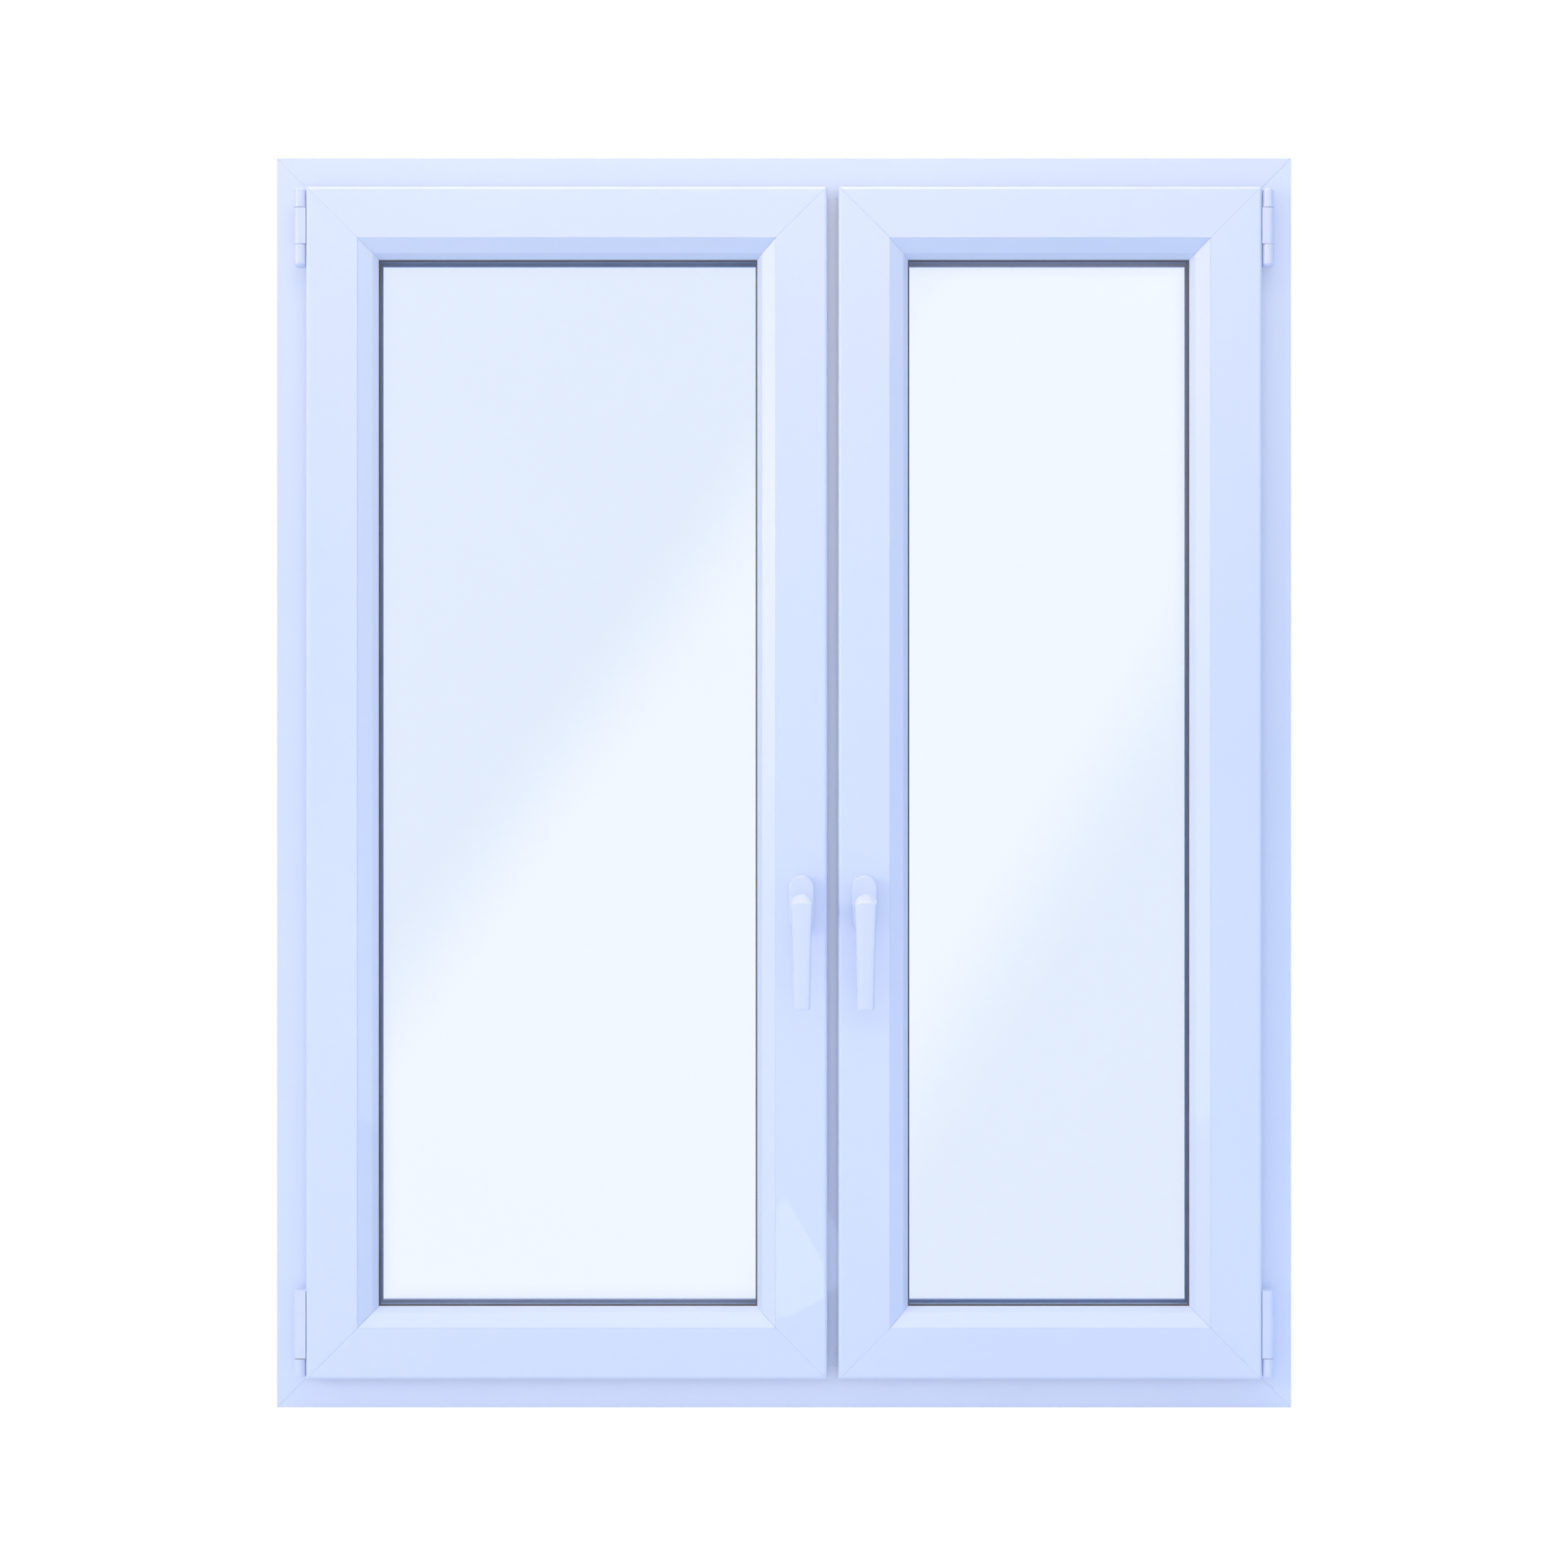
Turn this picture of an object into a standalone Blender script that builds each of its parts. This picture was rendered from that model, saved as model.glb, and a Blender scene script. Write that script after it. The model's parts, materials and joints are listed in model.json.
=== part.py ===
"""Two-sash casement window in white uPVC: a tilt-and-turn sash on the left, a turn sash on the right.

+X is to the right seen from the room, +Y points outdoors, +Z is up, and all lengths are metres.
The origin is the middle of the frame's underside. Sections are drawn as (inward, depth) pairs:
inward is measured from the outer edge of the rectangle that the bars run round, depth is Y.
"""

import math

import bmesh
import bpy
from mathutils import Matrix, Vector
from mathutils.geometry import tessellate_polygon

# Overall size and the line of the fixed mullion
WIDTH = 1.165
HEIGHT = 1.435
MULLION_X = 0.0557

# Outer frame section
FRAME_ROOM_Y = -0.041
FRAME_OUT_Y = 0.041
FRAME_FLANGE_Y = 0.024
FRAME_REBATE = 0.047
FRAME_FLANGE = 0.070
MULLION_HALF = 0.0158
WALL = 0.003
HARDWARE_WALL = 0.002

# Sash section, measured from the sash's own lip edge
SASH_ROOM_Y = -0.062
SASH_LIP_Y = -0.047
SASH_OUT_Y = 0.020
SASH_INSET = 0.0375
SASH_BACK = 0.0215
BEAD_LINE = 0.0588
SASH_FLANGE = 0.0750
SASH_FLANGE_Y = 0.003
BEAD_EDGE = 0.0800
ROOM_SEAL_EDGE = 0.0820
OUT_SEAL_EDGE = 0.0777

# Triple glazing: three panes held apart by two spacers
PANE = 0.004
GLASS_GAP = 0.014
GLASS_OUT_Y = 0.0
GLASS_EDGE = 0.0640
SPACER_DEPTH = 0.0115

# Hinge axes, and the side hinges' heights
HINGE_INSET = 0.02975
HINGE_Y = -0.0545
KNUCKLE_R = 0.00675
KNUCKLE_REACH = SASH_INSET - HINGE_INSET - 0.0003
HINGE_PLATE_Y = (-0.0432, -0.0413)
HINGE_LEAF_Y = (-0.0456, -0.0436)
TOP_HINGE_Z = (1.3092, 1.3323, 1.3737, 1.3945)
BOTTOM_HINGE_Z = (0.0400, 0.0597, 0.0612, 0.1380)
HINGE_GAP = 0.0006
PIN_R = 0.0025
PIN_BORE_R = 0.0029
PIVOT_R = 0.0030
TILT_Z = 0.050

# Top stay of the tilting sash
STAY_Z = (1.3795, 1.3825)
STAY_Y = (-0.0430, -0.0330)
STAY_ROOT = (0.01875, 0.02375)
STAY_REACH = 0.380

# Handles and the gear behind them
HANDLE_Z = 0.580
HANDLE_INSET = 0.0295
ROSETTE = (0.029, 0.065)
ROSETTE_Y = -0.073
LEVER_Y = (-0.113, -0.100)
LEVER_HEAD_R = 0.0126
LEVER_TIP_HALF = 0.0100
LEVER_LENGTH = 0.1175
NECK_R = 0.008
SPINDLE = 0.007
ROD_Y = -0.033
ROD_Z = (0.150, 1.290)
ROD_WIDTH = 0.012
ROD_THICK = 0.0024
CAM_R = 0.0045
CAM_HEIGHT = 0.005
CAM_Z = (0.330, 0.980)
STRIKER_THICK = 0.0022

TOUCH = 0.0003
MITRE_GAP = TOUCH / math.sqrt(2)
CORNER_STEPS = 3
ROUND_STEPS = 20
SIDES = ("left", "right", "bottom", "top")


# ---------------------------------------------------------------- materials

def material(name, colour, roughness, metallic=0.0, alpha=1.0):
    made = bpy.data.materials.new(name)
    made.use_nodes = True
    shader = made.node_tree.nodes["Principled BSDF"]
    shader.inputs["Base Color"].default_value = (*colour, 1.0)
    shader.inputs["Roughness"].default_value = roughness
    shader.inputs["Metallic"].default_value = metallic
    shader.inputs["Alpha"].default_value = alpha
    return made


def make_materials():
    return {
        "pvc": material("white_pvc", (0.72, 0.78, 0.95), 0.35),
        "rubber": material("black_rubber", (0.035, 0.037, 0.045), 0.7),
        "glass": material("clear_glass", (0.86, 0.92, 0.97), 0.02, alpha=0.3),
        "spacer": material("spacer_bar", (0.25, 0.28, 0.36), 0.4, 0.5),
        "steel": material("zinc_plated_steel", (0.62, 0.63, 0.65), 0.35, 1.0),
        "cover": material("hinge_white", (0.72, 0.78, 0.95), 0.3),
        "handle": material("handle_white", (0.76, 0.82, 0.96), 0.28),
    }


# ---------------------------------------------------------------- outlines

def rounded(corners, steps=CORNER_STEPS):
    """A closed outline from (a, b, radius) corners, each radius above zero drawn as an arc."""
    points = []
    for i, (a, b, radius) in enumerate(corners):
        here = Vector((a, b))
        if radius == 0:
            points.append((a, b))
            continue
        to_last = (Vector(corners[i - 1][:2]) - here).normalized()
        to_next = (Vector(corners[(i + 1) % len(corners)][:2]) - here).normalized()
        half = to_last.angle(to_next) / 2
        centre = here + (to_last + to_next).normalized() * (radius / math.sin(half))
        reach = radius / math.tan(half)
        start = here + to_last * reach - centre
        end = here + to_next * reach - centre
        for step in range(steps + 1):
            spoke = start.lerp(end, step / steps).normalized() * radius
            points.append(tuple(centre + spoke))
    return points


def rectangle(a0, a1, b0, b1):
    return [(a0, b0), (a1, b0), (a1, b1), (a0, b1)]


def circle(a, b, radius, steps=ROUND_STEPS):
    turns = [2 * math.pi * (i + 0.5) / steps for i in range(steps)]
    return [(a + radius * math.cos(t), b + radius * math.sin(t)) for t in turns]


def frame_section():
    outer = rounded([
        (0.0, FRAME_ROOM_Y, 0.001),
        (FRAME_REBATE, FRAME_ROOM_Y, 0.0025),
        (FRAME_REBATE, FRAME_FLANGE_Y, 0.0),
        (FRAME_FLANGE, FRAME_FLANGE_Y, 0.001),
        (FRAME_FLANGE, FRAME_OUT_Y, 0.0025),
        (0.0, FRAME_OUT_Y, 0.001),
    ])
    web_y = -0.010
    room_chamber = rectangle(WALL, FRAME_REBATE - WALL, FRAME_ROOM_Y + WALL, web_y)
    steel_chamber = rectangle(WALL, FRAME_REBATE - WALL, web_y + WALL, FRAME_FLANGE_Y - WALL)
    outer_chamber = rectangle(WALL, FRAME_FLANGE - WALL, FRAME_FLANGE_Y + WALL, FRAME_OUT_Y - WALL)
    return [outer, room_chamber, steel_chamber, outer_chamber]


def mullion_section():
    flange = MULLION_HALF + FRAME_FLANGE - FRAME_REBATE
    outer = rounded([
        (MULLION_X - MULLION_HALF, FRAME_ROOM_Y, 0.0025),
        (MULLION_X + MULLION_HALF, FRAME_ROOM_Y, 0.0025),
        (MULLION_X + MULLION_HALF, FRAME_FLANGE_Y, 0.0),
        (MULLION_X + flange, FRAME_FLANGE_Y, 0.001),
        (MULLION_X + flange, FRAME_OUT_Y, 0.0025),
        (MULLION_X - flange, FRAME_OUT_Y, 0.0025),
        (MULLION_X - flange, FRAME_FLANGE_Y, 0.001),
        (MULLION_X - MULLION_HALF, FRAME_FLANGE_Y, 0.0),
    ])
    stem = MULLION_HALF - WALL
    steel_chamber = rectangle(
        MULLION_X - stem, MULLION_X + stem, FRAME_ROOM_Y + WALL, FRAME_FLANGE_Y - WALL
    )
    bar = flange - WALL
    outer_chamber = rectangle(
        MULLION_X - bar, MULLION_X + bar, FRAME_FLANGE_Y + WALL, FRAME_OUT_Y - WALL
    )
    return [outer, steel_chamber, outer_chamber]


def sash_section():
    """The sash bar, with its outdoor glazing seal drawn on the flange as the extruder leaves it."""
    seal_y = GLASS_OUT_Y + TOUCH
    outer = rounded([
        (0.0, SASH_ROOM_Y, 0.004),
        (0.0, SASH_LIP_Y, 0.0015),
        (SASH_BACK, SASH_LIP_Y, 0.0),
        (SASH_BACK, SASH_OUT_Y, 0.0015),
        (SASH_FLANGE, SASH_OUT_Y, 0.003),
        (SASH_FLANGE, SASH_FLANGE_Y + 0.001, 0.0),
        (OUT_SEAL_EDGE, SASH_FLANGE_Y - 0.001, 0.0),
        (OUT_SEAL_EDGE, seal_y, 0.0),
        (SASH_FLANGE - 0.005, seal_y, 0.0),
        (SASH_FLANGE - 0.005, SASH_FLANGE_Y, 0.0),
        (BEAD_LINE, SASH_FLANGE_Y, 0.0),
        (BEAD_LINE, SASH_ROOM_Y, 0.0008),
    ])
    inner = BEAD_LINE - WALL
    back = SASH_BACK + HARDWARE_WALL
    lip_chamber = rectangle(WALL, inner, SASH_ROOM_Y + WALL, SASH_LIP_Y - WALL)
    off_line = 0.0005
    steel_chamber = rectangle(back, inner, SASH_LIP_Y + off_line, SASH_FLANGE_Y - off_line)
    outer_chamber = rectangle(back, SASH_FLANGE - WALL, SASH_FLANGE_Y + WALL, SASH_OUT_Y - WALL)
    return [outer, lip_chamber, steel_chamber, outer_chamber]


def bead_section():
    """The glazing bead: a flat strip, a slope and a steeper shoulder, with its lip on the glass."""
    glass_y = GLASS_OUT_Y - 3 * PANE - 2 * GLASS_GAP
    start = BEAD_LINE + TOUCH
    face_y = SASH_ROOM_Y + TOUCH
    foot_y = glass_y - 0.003
    shoulder = BEAD_LINE + 0.0157
    outer = rounded([
        (start, face_y, 0.0005),
        (BEAD_LINE + 0.0050, face_y, 0.0020),
        (shoulder, face_y + 0.0093, 0.0030),
        (BEAD_EDGE, foot_y - 0.001, 0.0),
        (ROOM_SEAL_EDGE, glass_y - 0.002, 0.0),
        (ROOM_SEAL_EDGE, glass_y - TOUCH, 0.0),
        (BEAD_EDGE - 0.0055, glass_y - TOUCH, 0.0),
        (BEAD_EDGE - 0.0055, foot_y, 0.0),
        (start, foot_y, 0.0),
    ])
    chamber = [
        (start + WALL, face_y + WALL),
        (start + 0.0038, face_y + WALL),
        (shoulder - 0.0026, face_y + 0.0112),
        (BEAD_EDGE - 0.0050, foot_y - WALL),
        (start + WALL, foot_y - WALL),
    ]
    return [outer, chamber]


# ---------------------------------------------------------------- solids

def finish_mesh(name, bm, finish, smooth_angle=30):
    bmesh.ops.recalc_face_normals(bm, faces=bm.faces)
    mesh = bpy.data.meshes.new(name)
    bm.to_mesh(mesh)
    bm.free()
    mesh.shade_smooth()
    mesh.set_sharp_from_angle(angle=math.radians(smooth_angle))
    mesh.materials.append(finish)
    made = bpy.data.objects.new(name, mesh)
    bpy.context.scene.collection.objects.link(made)
    return made


def cap(bm, rings, loops):
    """Closes one end of a tube whose section may hold chambers."""
    corners = [v for ring in rings for v in ring]
    flat = [[Vector((a, b, 0.0)) for a, b in loop] for loop in loops]
    for triangle in tessellate_polygon(flat):
        bm.faces.new([corners[i] for i in triangle])


def tube(name, near, far, loops, finish):
    """The solid between two copies of a section: near(a, b) and far(a, b) place its points."""
    bm = bmesh.new()
    near_rings = [[bm.verts.new(near(a, b)) for a, b in loop] for loop in loops]
    far_rings = [[bm.verts.new(far(a, b)) for a, b in loop] for loop in loops]
    for first, last in zip(near_rings, far_rings):
        for i in range(len(first)):
            j = (i + 1) % len(first)
            bm.faces.new((first[i], first[j], last[j], last[i]))
    cap(bm, near_rings, loops)
    cap(bm, far_rings, loops)
    return finish_mesh(name, bm, finish)


def prism(name, loops, axis, low, high, finish):
    """A section extruded along X, Y or Z. Its outline is (y, z), (x, z) or (x, y)."""
    place = {
        "X": lambda a, b, along: (along, a, b),
        "Y": lambda a, b, along: (a, along, b),
        "Z": lambda a, b, along: (a, b, along),
    }[axis]
    return tube(
        name, lambda a, b: place(a, b, low), lambda a, b: place(a, b, high), loops, finish
    )


def box(name, x, y, z, finish):
    return prism(name, [rectangle(min(x), max(x), min(y), max(y))], "Z", *z, finish)


def bar(name, rect, side, loops, finish):
    """A bar along one side of a rectangle (x0, x1, z0, z1), mitred at both ends."""
    x0, x1, z0, z1 = rect
    length = x1 - x0 if side in ("bottom", "top") else z1 - z0

    def place(inward, y, along):
        return {
            "bottom": (x0 + along, y, z0 + inward),
            "top": (x0 + along, y, z1 - inward),
            "left": (x0 + inward, y, z0 + along),
            "right": (x1 - inward, y, z0 + along),
        }[side]

    def near(inward, y):
        return place(inward, y, inward + MITRE_GAP)

    def far(inward, y):
        return place(inward, y, length - inward - MITRE_GAP)

    return tube(name, near, far, loops, finish)


def ring(name, rect, outline, finish):
    """A closed ring of one section round the inside of a rectangle."""
    x0, x1, z0, z1 = rect
    bm = bmesh.new()
    rows = []
    for inward, y in outline:
        corners = [
            (x0 + inward, y, z0 + inward),
            (x1 - inward, y, z0 + inward),
            (x1 - inward, y, z1 - inward),
            (x0 + inward, y, z1 - inward),
        ]
        rows.append([bm.verts.new(c) for c in corners])
    for i, row in enumerate(rows):
        after = rows[(i + 1) % len(rows)]
        for k in range(4):
            m = (k + 1) % 4
            bm.faces.new((row[k], row[m], after[m], after[k]))
    return finish_mesh(name, bm, finish)


def combine(base, operation, *others):
    """Joins the others to base, or cuts them from it, and removes them."""
    for other in others:
        step = base.modifiers.new(other.name, "BOOLEAN")
        step.operation = operation
        step.solver = "EXACT"
        step.object = other
        bpy.context.view_layer.update()
        seen = base.evaluated_get(bpy.context.evaluated_depsgraph_get())
        mesh = bpy.data.meshes.new_from_object(seen)
        base.modifiers.clear()
        old = base.data
        base.data = mesh
        bpy.data.meshes.remove(old)
        bpy.data.objects.remove(other)
    bm = bmesh.new()
    bm.from_mesh(base.data)
    bmesh.ops.remove_doubles(bm, verts=bm.verts, dist=0.000002)
    bmesh.ops.dissolve_degenerate(bm, edges=bm.edges, dist=0.000002)
    bmesh.ops.triangulate(bm, faces=[f for f in bm.faces if len(f.verts) > 4])
    bm.to_mesh(base.data)
    bm.free()
    base.data.name = base.name
    return base


def axis_empty(name, place, parent=None):
    """An empty on a joint's axis. What moves with the joint is parented to it."""
    made = bpy.data.objects.new(name, None)
    made.empty_display_size = 0.03
    made.location = Vector(place) - (parent.matrix_world.translation if parent else Vector())
    bpy.context.scene.collection.objects.link(made)
    made.parent = parent
    bpy.context.view_layer.update()
    return made


def carry(empty, *pieces):
    """Parents pieces to an empty and leaves them where they are."""
    for piece in pieces:
        piece.parent = empty
        piece.matrix_parent_inverse = Matrix.Translation(-empty.matrix_world.translation)


# ---------------------------------------------------------------- outer frame

FRAME_RECT = (-WIDTH / 2, WIDTH / 2, 0.0, HEIGHT)
FRAME_NAMES = {
    "left": "frame_jamb_left",
    "right": "frame_jamb_right",
    "bottom": "frame_sill",
    "top": "frame_head",
}


def opening_rect(side):
    """The rectangle that one light's sections are measured from, as if the frame went all round it."""
    past_mullion = FRAME_REBATE - MULLION_HALF
    if side == "left":
        return (-WIDTH / 2, MULLION_X + past_mullion, 0.0, HEIGHT)
    return (MULLION_X - past_mullion, WIDTH / 2, 0.0, HEIGHT)


def sash_rect(side):
    x0, x1, z0, z1 = opening_rect(side)
    return (x0 + SASH_INSET, x1 - SASH_INSET, z0 + SASH_INSET, z1 - SASH_INSET)


def make_frame(finishes):
    for side in SIDES:
        bar(FRAME_NAMES[side], FRAME_RECT, side, frame_section(), finishes["pvc"])


def make_mullion(finishes):
    """A T section between head and sill. Its flange stops at theirs, and its stem runs on."""
    low = FRAME_REBATE + TOUCH
    high = HEIGHT - low
    mullion = prism("mullion", mullion_section(), "Z", low, high, finishes["pvc"])
    notch_y = (FRAME_FLANGE_Y - TOUCH, FRAME_OUT_Y + 0.002)
    notch_x = (MULLION_X - 0.05, MULLION_X + 0.05)
    flange_end = FRAME_FLANGE + TOUCH
    lower = box("lower_notch", notch_x, notch_y, (low - 0.002, flange_end), finishes["pvc"])
    upper = box(
        "upper_notch", notch_x, notch_y, (HEIGHT - flange_end, high + 0.002), finishes["pvc"]
    )
    combine(mullion, "DIFFERENCE", lower, upper)


def make_frame_gasket(side, finishes):
    section = rounded([
        (0.061, FRAME_FLANGE_Y - TOUCH, 0.0),
        (0.062, SASH_OUT_Y + TOUCH, 0.0005),
        (0.067, SASH_OUT_Y + TOUCH, 0.0005),
        (0.0675, FRAME_FLANGE_Y - TOUCH, 0.0),
    ])
    ring(f"frame_gasket_{side}", opening_rect(side), section, finishes["rubber"])


def make_striker(side, finishes):
    """The keep on the mullion that the upper cam runs past, screwed to the rebate face."""
    toward = -1 if side == "left" else 1
    face = MULLION_X + toward * (MULLION_HALF + TOUCH)
    middle = CAM_Z[1] + 0.009
    plate = box(
        f"{side}_striker",
        (face, face + toward * STRIKER_THICK),
        (ROD_Y - 0.010, ROD_Y + 0.010),
        (middle - 0.035, middle + 0.035),
        finishes["steel"],
    )
    rib = box(
        "striker_rib",
        (face + toward * 0.001, face + toward * 0.0085),
        (ROD_Y + 0.0066, ROD_Y + 0.0096),
        (middle - 0.027, middle + 0.027),
        finishes["steel"],
    )
    combine(plate, "UNION", rib)


# ---------------------------------------------------------------- sashes

BAR_WORDS = {
    "left": {"left": "hinge_stile", "right": "lock_stile", "bottom": "bottom_rail", "top": "top_rail"},
    "right": {"left": "lock_stile", "right": "hinge_stile", "bottom": "bottom_rail", "top": "top_rail"},
}


def handle_x(side):
    x0, x1, _, _ = sash_rect(side)
    return x1 - HANDLE_INSET if side == "left" else x0 + HANDLE_INSET


def make_sash_bars(side, finishes):
    made = []
    for edge in SIDES:
        word = BAR_WORDS[side][edge]
        piece = bar(f"{side}_sash_{word}", sash_rect(side), edge, sash_section(), finishes["pvc"])
        if word == "lock_stile":
            hole = prism(
                "spindle_hole",
                [circle(handle_x(side), HANDLE_Z, 0.0065)],
                "Y",
                SASH_ROOM_Y - 0.002,
                SASH_LIP_Y + 0.004,
                finishes["pvc"],
            )
            combine(piece, "DIFFERENCE", hole)
        made.append(piece)
    return made


def make_beads(side, finishes):
    return [
        bar(
            f"{side}_bead_{edge}", sash_rect(side), edge, bead_section(), finishes["pvc"]
        )
        for edge in SIDES
    ]


def make_glazing(side, finishes):
    """Three panes from outdoors to the room, with a spacer ring between each two."""
    x0, x1, z0, z1 = sash_rect(side)
    x = (x0 + GLASS_EDGE, x1 - GLASS_EDGE)
    z = (z0 + GLASS_EDGE, z1 - GLASS_EDGE)
    made = []
    for i, word in enumerate(("outer", "middle", "inner")):
        y = GLASS_OUT_Y - i * (PANE + GLASS_GAP)
        made.append(box(f"{side}_pane_{word}", x, (y - PANE, y), z, finishes["glass"]))
    for i, word in enumerate(("outer", "inner")):
        y = GLASS_OUT_Y - PANE - i * (PANE + GLASS_GAP)
        outline = rectangle(
            GLASS_EDGE + 0.0005, GLASS_EDGE + SPACER_DEPTH, y - GLASS_GAP + TOUCH, y - TOUCH
        )
        made.append(ring(f"{side}_spacer_{word}", sash_rect(side), outline, finishes["spacer"]))
    return made


def make_sash_gasket(side, finishes):
    """The seal behind the sash lip, cut thin where the hinge leaves cross it."""
    strip = rounded([
        (0.003, SASH_LIP_Y + TOUCH, 0.0),
        (0.0072, SASH_LIP_Y + TOUCH, 0.0),
        (0.0066, SASH_LIP_Y + 0.0028, 0.0006),
        (0.0036, SASH_LIP_Y + 0.0028, 0.0006),
    ])
    gasket = ring(f"{side}_sash_gasket", sash_rect(side), strip, finishes["rubber"])
    axis, toward = hinge_axis(side)
    cuts = [
        box(
            f"leaf_cut_{i}",
            (axis + toward * 0.008, axis + toward * 0.020),
            (SASH_LIP_Y + 0.0010, SASH_LIP_Y + 0.004),
            (low - 0.002, high + 0.002),
            finishes["rubber"],
        )
        for i, (low, high) in enumerate((BOTTOM_HINGE_Z[2:], TOP_HINGE_Z[1:3]))
    ]
    return combine(gasket, "DIFFERENCE", *cuts)


# ---------------------------------------------------------------- hinges

def hinge_axis(side):
    """The X of the side's hinge axis, and the direction from it towards the sash."""
    toward = 1 if side == "left" else -1
    return -toward * (WIDTH / 2 - HINGE_INSET), toward


def hinge_outline(side, corners):
    """An outline drawn from the hinge axis: (towards the sash, towards outdoors)."""
    axis, toward = hinge_axis(side)
    return [(axis + toward * a, HINGE_Y + b) for a, b in corners]


def knuckle_outline(side):
    """The frame's knuckle: round to the room, with a neck back to its plate."""
    neck = HINGE_PLATE_Y[0] - HINGE_Y + 0.0004
    half = KNUCKLE_R * 0.74
    start = math.asin(half / KNUCKLE_R)
    sweep = 2 * (math.pi - start)
    arc = [start + math.pi / 2 + sweep * i / ROUND_STEPS for i in range(ROUND_STEPS + 1)]
    corners = [(KNUCKLE_R * math.cos(t), KNUCKLE_R * math.sin(t)) for t in arc]
    return hinge_outline(side, corners + [(half, neck), (-half, neck)])


def sash_knuckle_outline(side):
    """The sash's knuckle: round on its outer side, square where it reaches the sash."""
    half = KNUCKLE_R - 0.0006
    steps = ROUND_STEPS // 2
    arc = [math.pi / 2 + math.pi * i / steps for i in range(steps + 1)]
    corners = [(KNUCKLE_R * math.cos(t), half * math.sin(t)) for t in arc]
    return hinge_outline(side, corners + [(KNUCKLE_REACH, -half), (KNUCKLE_REACH, half)])


def frame_plate(side, name, z, finish):
    axis, toward = hinge_axis(side)
    return box(name, (axis - toward * KNUCKLE_R, axis + toward * 0.0165), HINGE_PLATE_Y, z, finish)


def hinge_bore(side, radius, z, finish):
    axis, _ = hinge_axis(side)
    return prism("bore", [circle(axis, HINGE_Y, radius, 16)], "Z", *z, finish)


def make_top_bracket(side, finishes):
    """The frame's half of the top hinge: a plate with a knuckle at each end."""
    low, middle_low, middle_high, high = TOP_HINGE_Z
    finish = finishes["cover"]
    bracket = frame_plate(side, f"{side}_top_hinge_bracket", (low, high), finish)
    lower = prism("lower", [knuckle_outline(side)], "Z", low, middle_low - HINGE_GAP, finish)
    upper = prism("upper", [knuckle_outline(side)], "Z", middle_high + HINGE_GAP, high, finish)
    combine(bracket, "UNION", lower, upper)
    bore = hinge_bore(side, PIN_BORE_R, (low - 0.005, high + 0.005), finish)
    return combine(bracket, "DIFFERENCE", bore)


def make_top_pin(side, finishes):
    axis, _ = hinge_axis(side)
    outline = [circle(axis, HINGE_Y, PIN_R, 16)]
    z = (TOP_HINGE_Z[0] - 0.0015, TOP_HINGE_Z[3] + 0.0015)
    return prism(f"{side}_top_hinge_pin", outline, "Z", *z, finishes["steel"])


def make_bottom_bracket(side, finishes):
    """The frame's half of the bottom hinge. The right one carries a fixed pivot pin."""
    low, cup_high, cover_low, _ = BOTTOM_HINGE_Z
    finish = finishes["cover"]
    name = f"{side}_bottom_hinge_bracket"
    bracket = frame_plate(side, name, (low, 0.1000), finish)
    cup = prism("cup", [knuckle_outline(side)], "Z", low, cup_high, finish)
    combine(bracket, "UNION", cup)
    if side == "right":
        pin = hinge_bore(side, PIVOT_R, (cup_high - 0.004, cover_low + 0.009), finish)
        return combine(bracket, "UNION", pin)
    socket = hinge_bore(side, PIVOT_R + 0.0004, (low + 0.0055, cup_high + 0.004), finish)
    return combine(bracket, "DIFFERENCE", socket)


def make_corner_pivot(finishes):
    """The pin that turns in the left bottom cup, with the collar that the sash tips on."""
    axis, _ = hinge_axis("left")
    low, cup_high, cover_low, _ = BOTTOM_HINGE_Z
    pin = prism(
        "left_corner_pivot",
        [circle(axis, HINGE_Y, PIVOT_R, 16)],
        "Z",
        low + 0.0058,
        cover_low + 0.009,
        finishes["steel"],
    )
    collar = prism(
        "collar",
        [circle(axis, HINGE_Y, PIVOT_R + 0.0016, 16)],
        "Z",
        cup_high + TOUCH,
        cover_low - TOUCH * 1.5,
        finishes["steel"],
    )
    return combine(pin, "UNION", collar)


def sash_leaf(side, z, finish):
    """A leaf from the knuckle, behind the sash lip, and its foot on the back of the sash."""
    axis, toward = hinge_axis(side)
    back = SASH_INSET + SASH_BACK - HINGE_INSET - TOUCH
    leaf = box("leaf", (axis - toward * 0.001, axis + toward * back), HINGE_LEAF_Y, z, finish)
    neck_y = (HINGE_Y + 0.003, HINGE_LEAF_Y[0] + 0.0004)
    neck = box("neck", (axis - toward * 0.0008, axis + toward * 0.0068), neck_y, z, finish)
    foot_x = (axis + toward * (back - 0.0024), axis + toward * (back - 0.00002))
    foot = box("foot", foot_x, (HINGE_LEAF_Y[0] + 0.0003, -0.020), z, finish)
    return [leaf, neck, foot]


def make_sash_hinge(side, name, knuckle_z, leaf_z, bore_r, bore_z, finishes):
    finish = finishes["cover"]
    made = prism(name, [sash_knuckle_outline(side)], "Z", *knuckle_z, finish)
    combine(made, "UNION", *sash_leaf(side, leaf_z, finish))
    return combine(made, "DIFFERENCE", hinge_bore(side, bore_r, bore_z, finish))


def make_bottom_cover(side, finishes):
    """The sash's half of the bottom hinge. The left bore is wide, so that the sash can tilt."""
    _, _, low, high = BOTTOM_HINGE_Z
    bore_r = 0.0052 if side == "left" else PIVOT_R + 0.0004
    return make_sash_hinge(
        side,
        f"{side}_bottom_hinge_cover",
        (low, high),
        (low + 0.004, high - 0.004),
        bore_r,
        (low - 0.003, low + 0.0125),
        finishes,
    )


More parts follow.
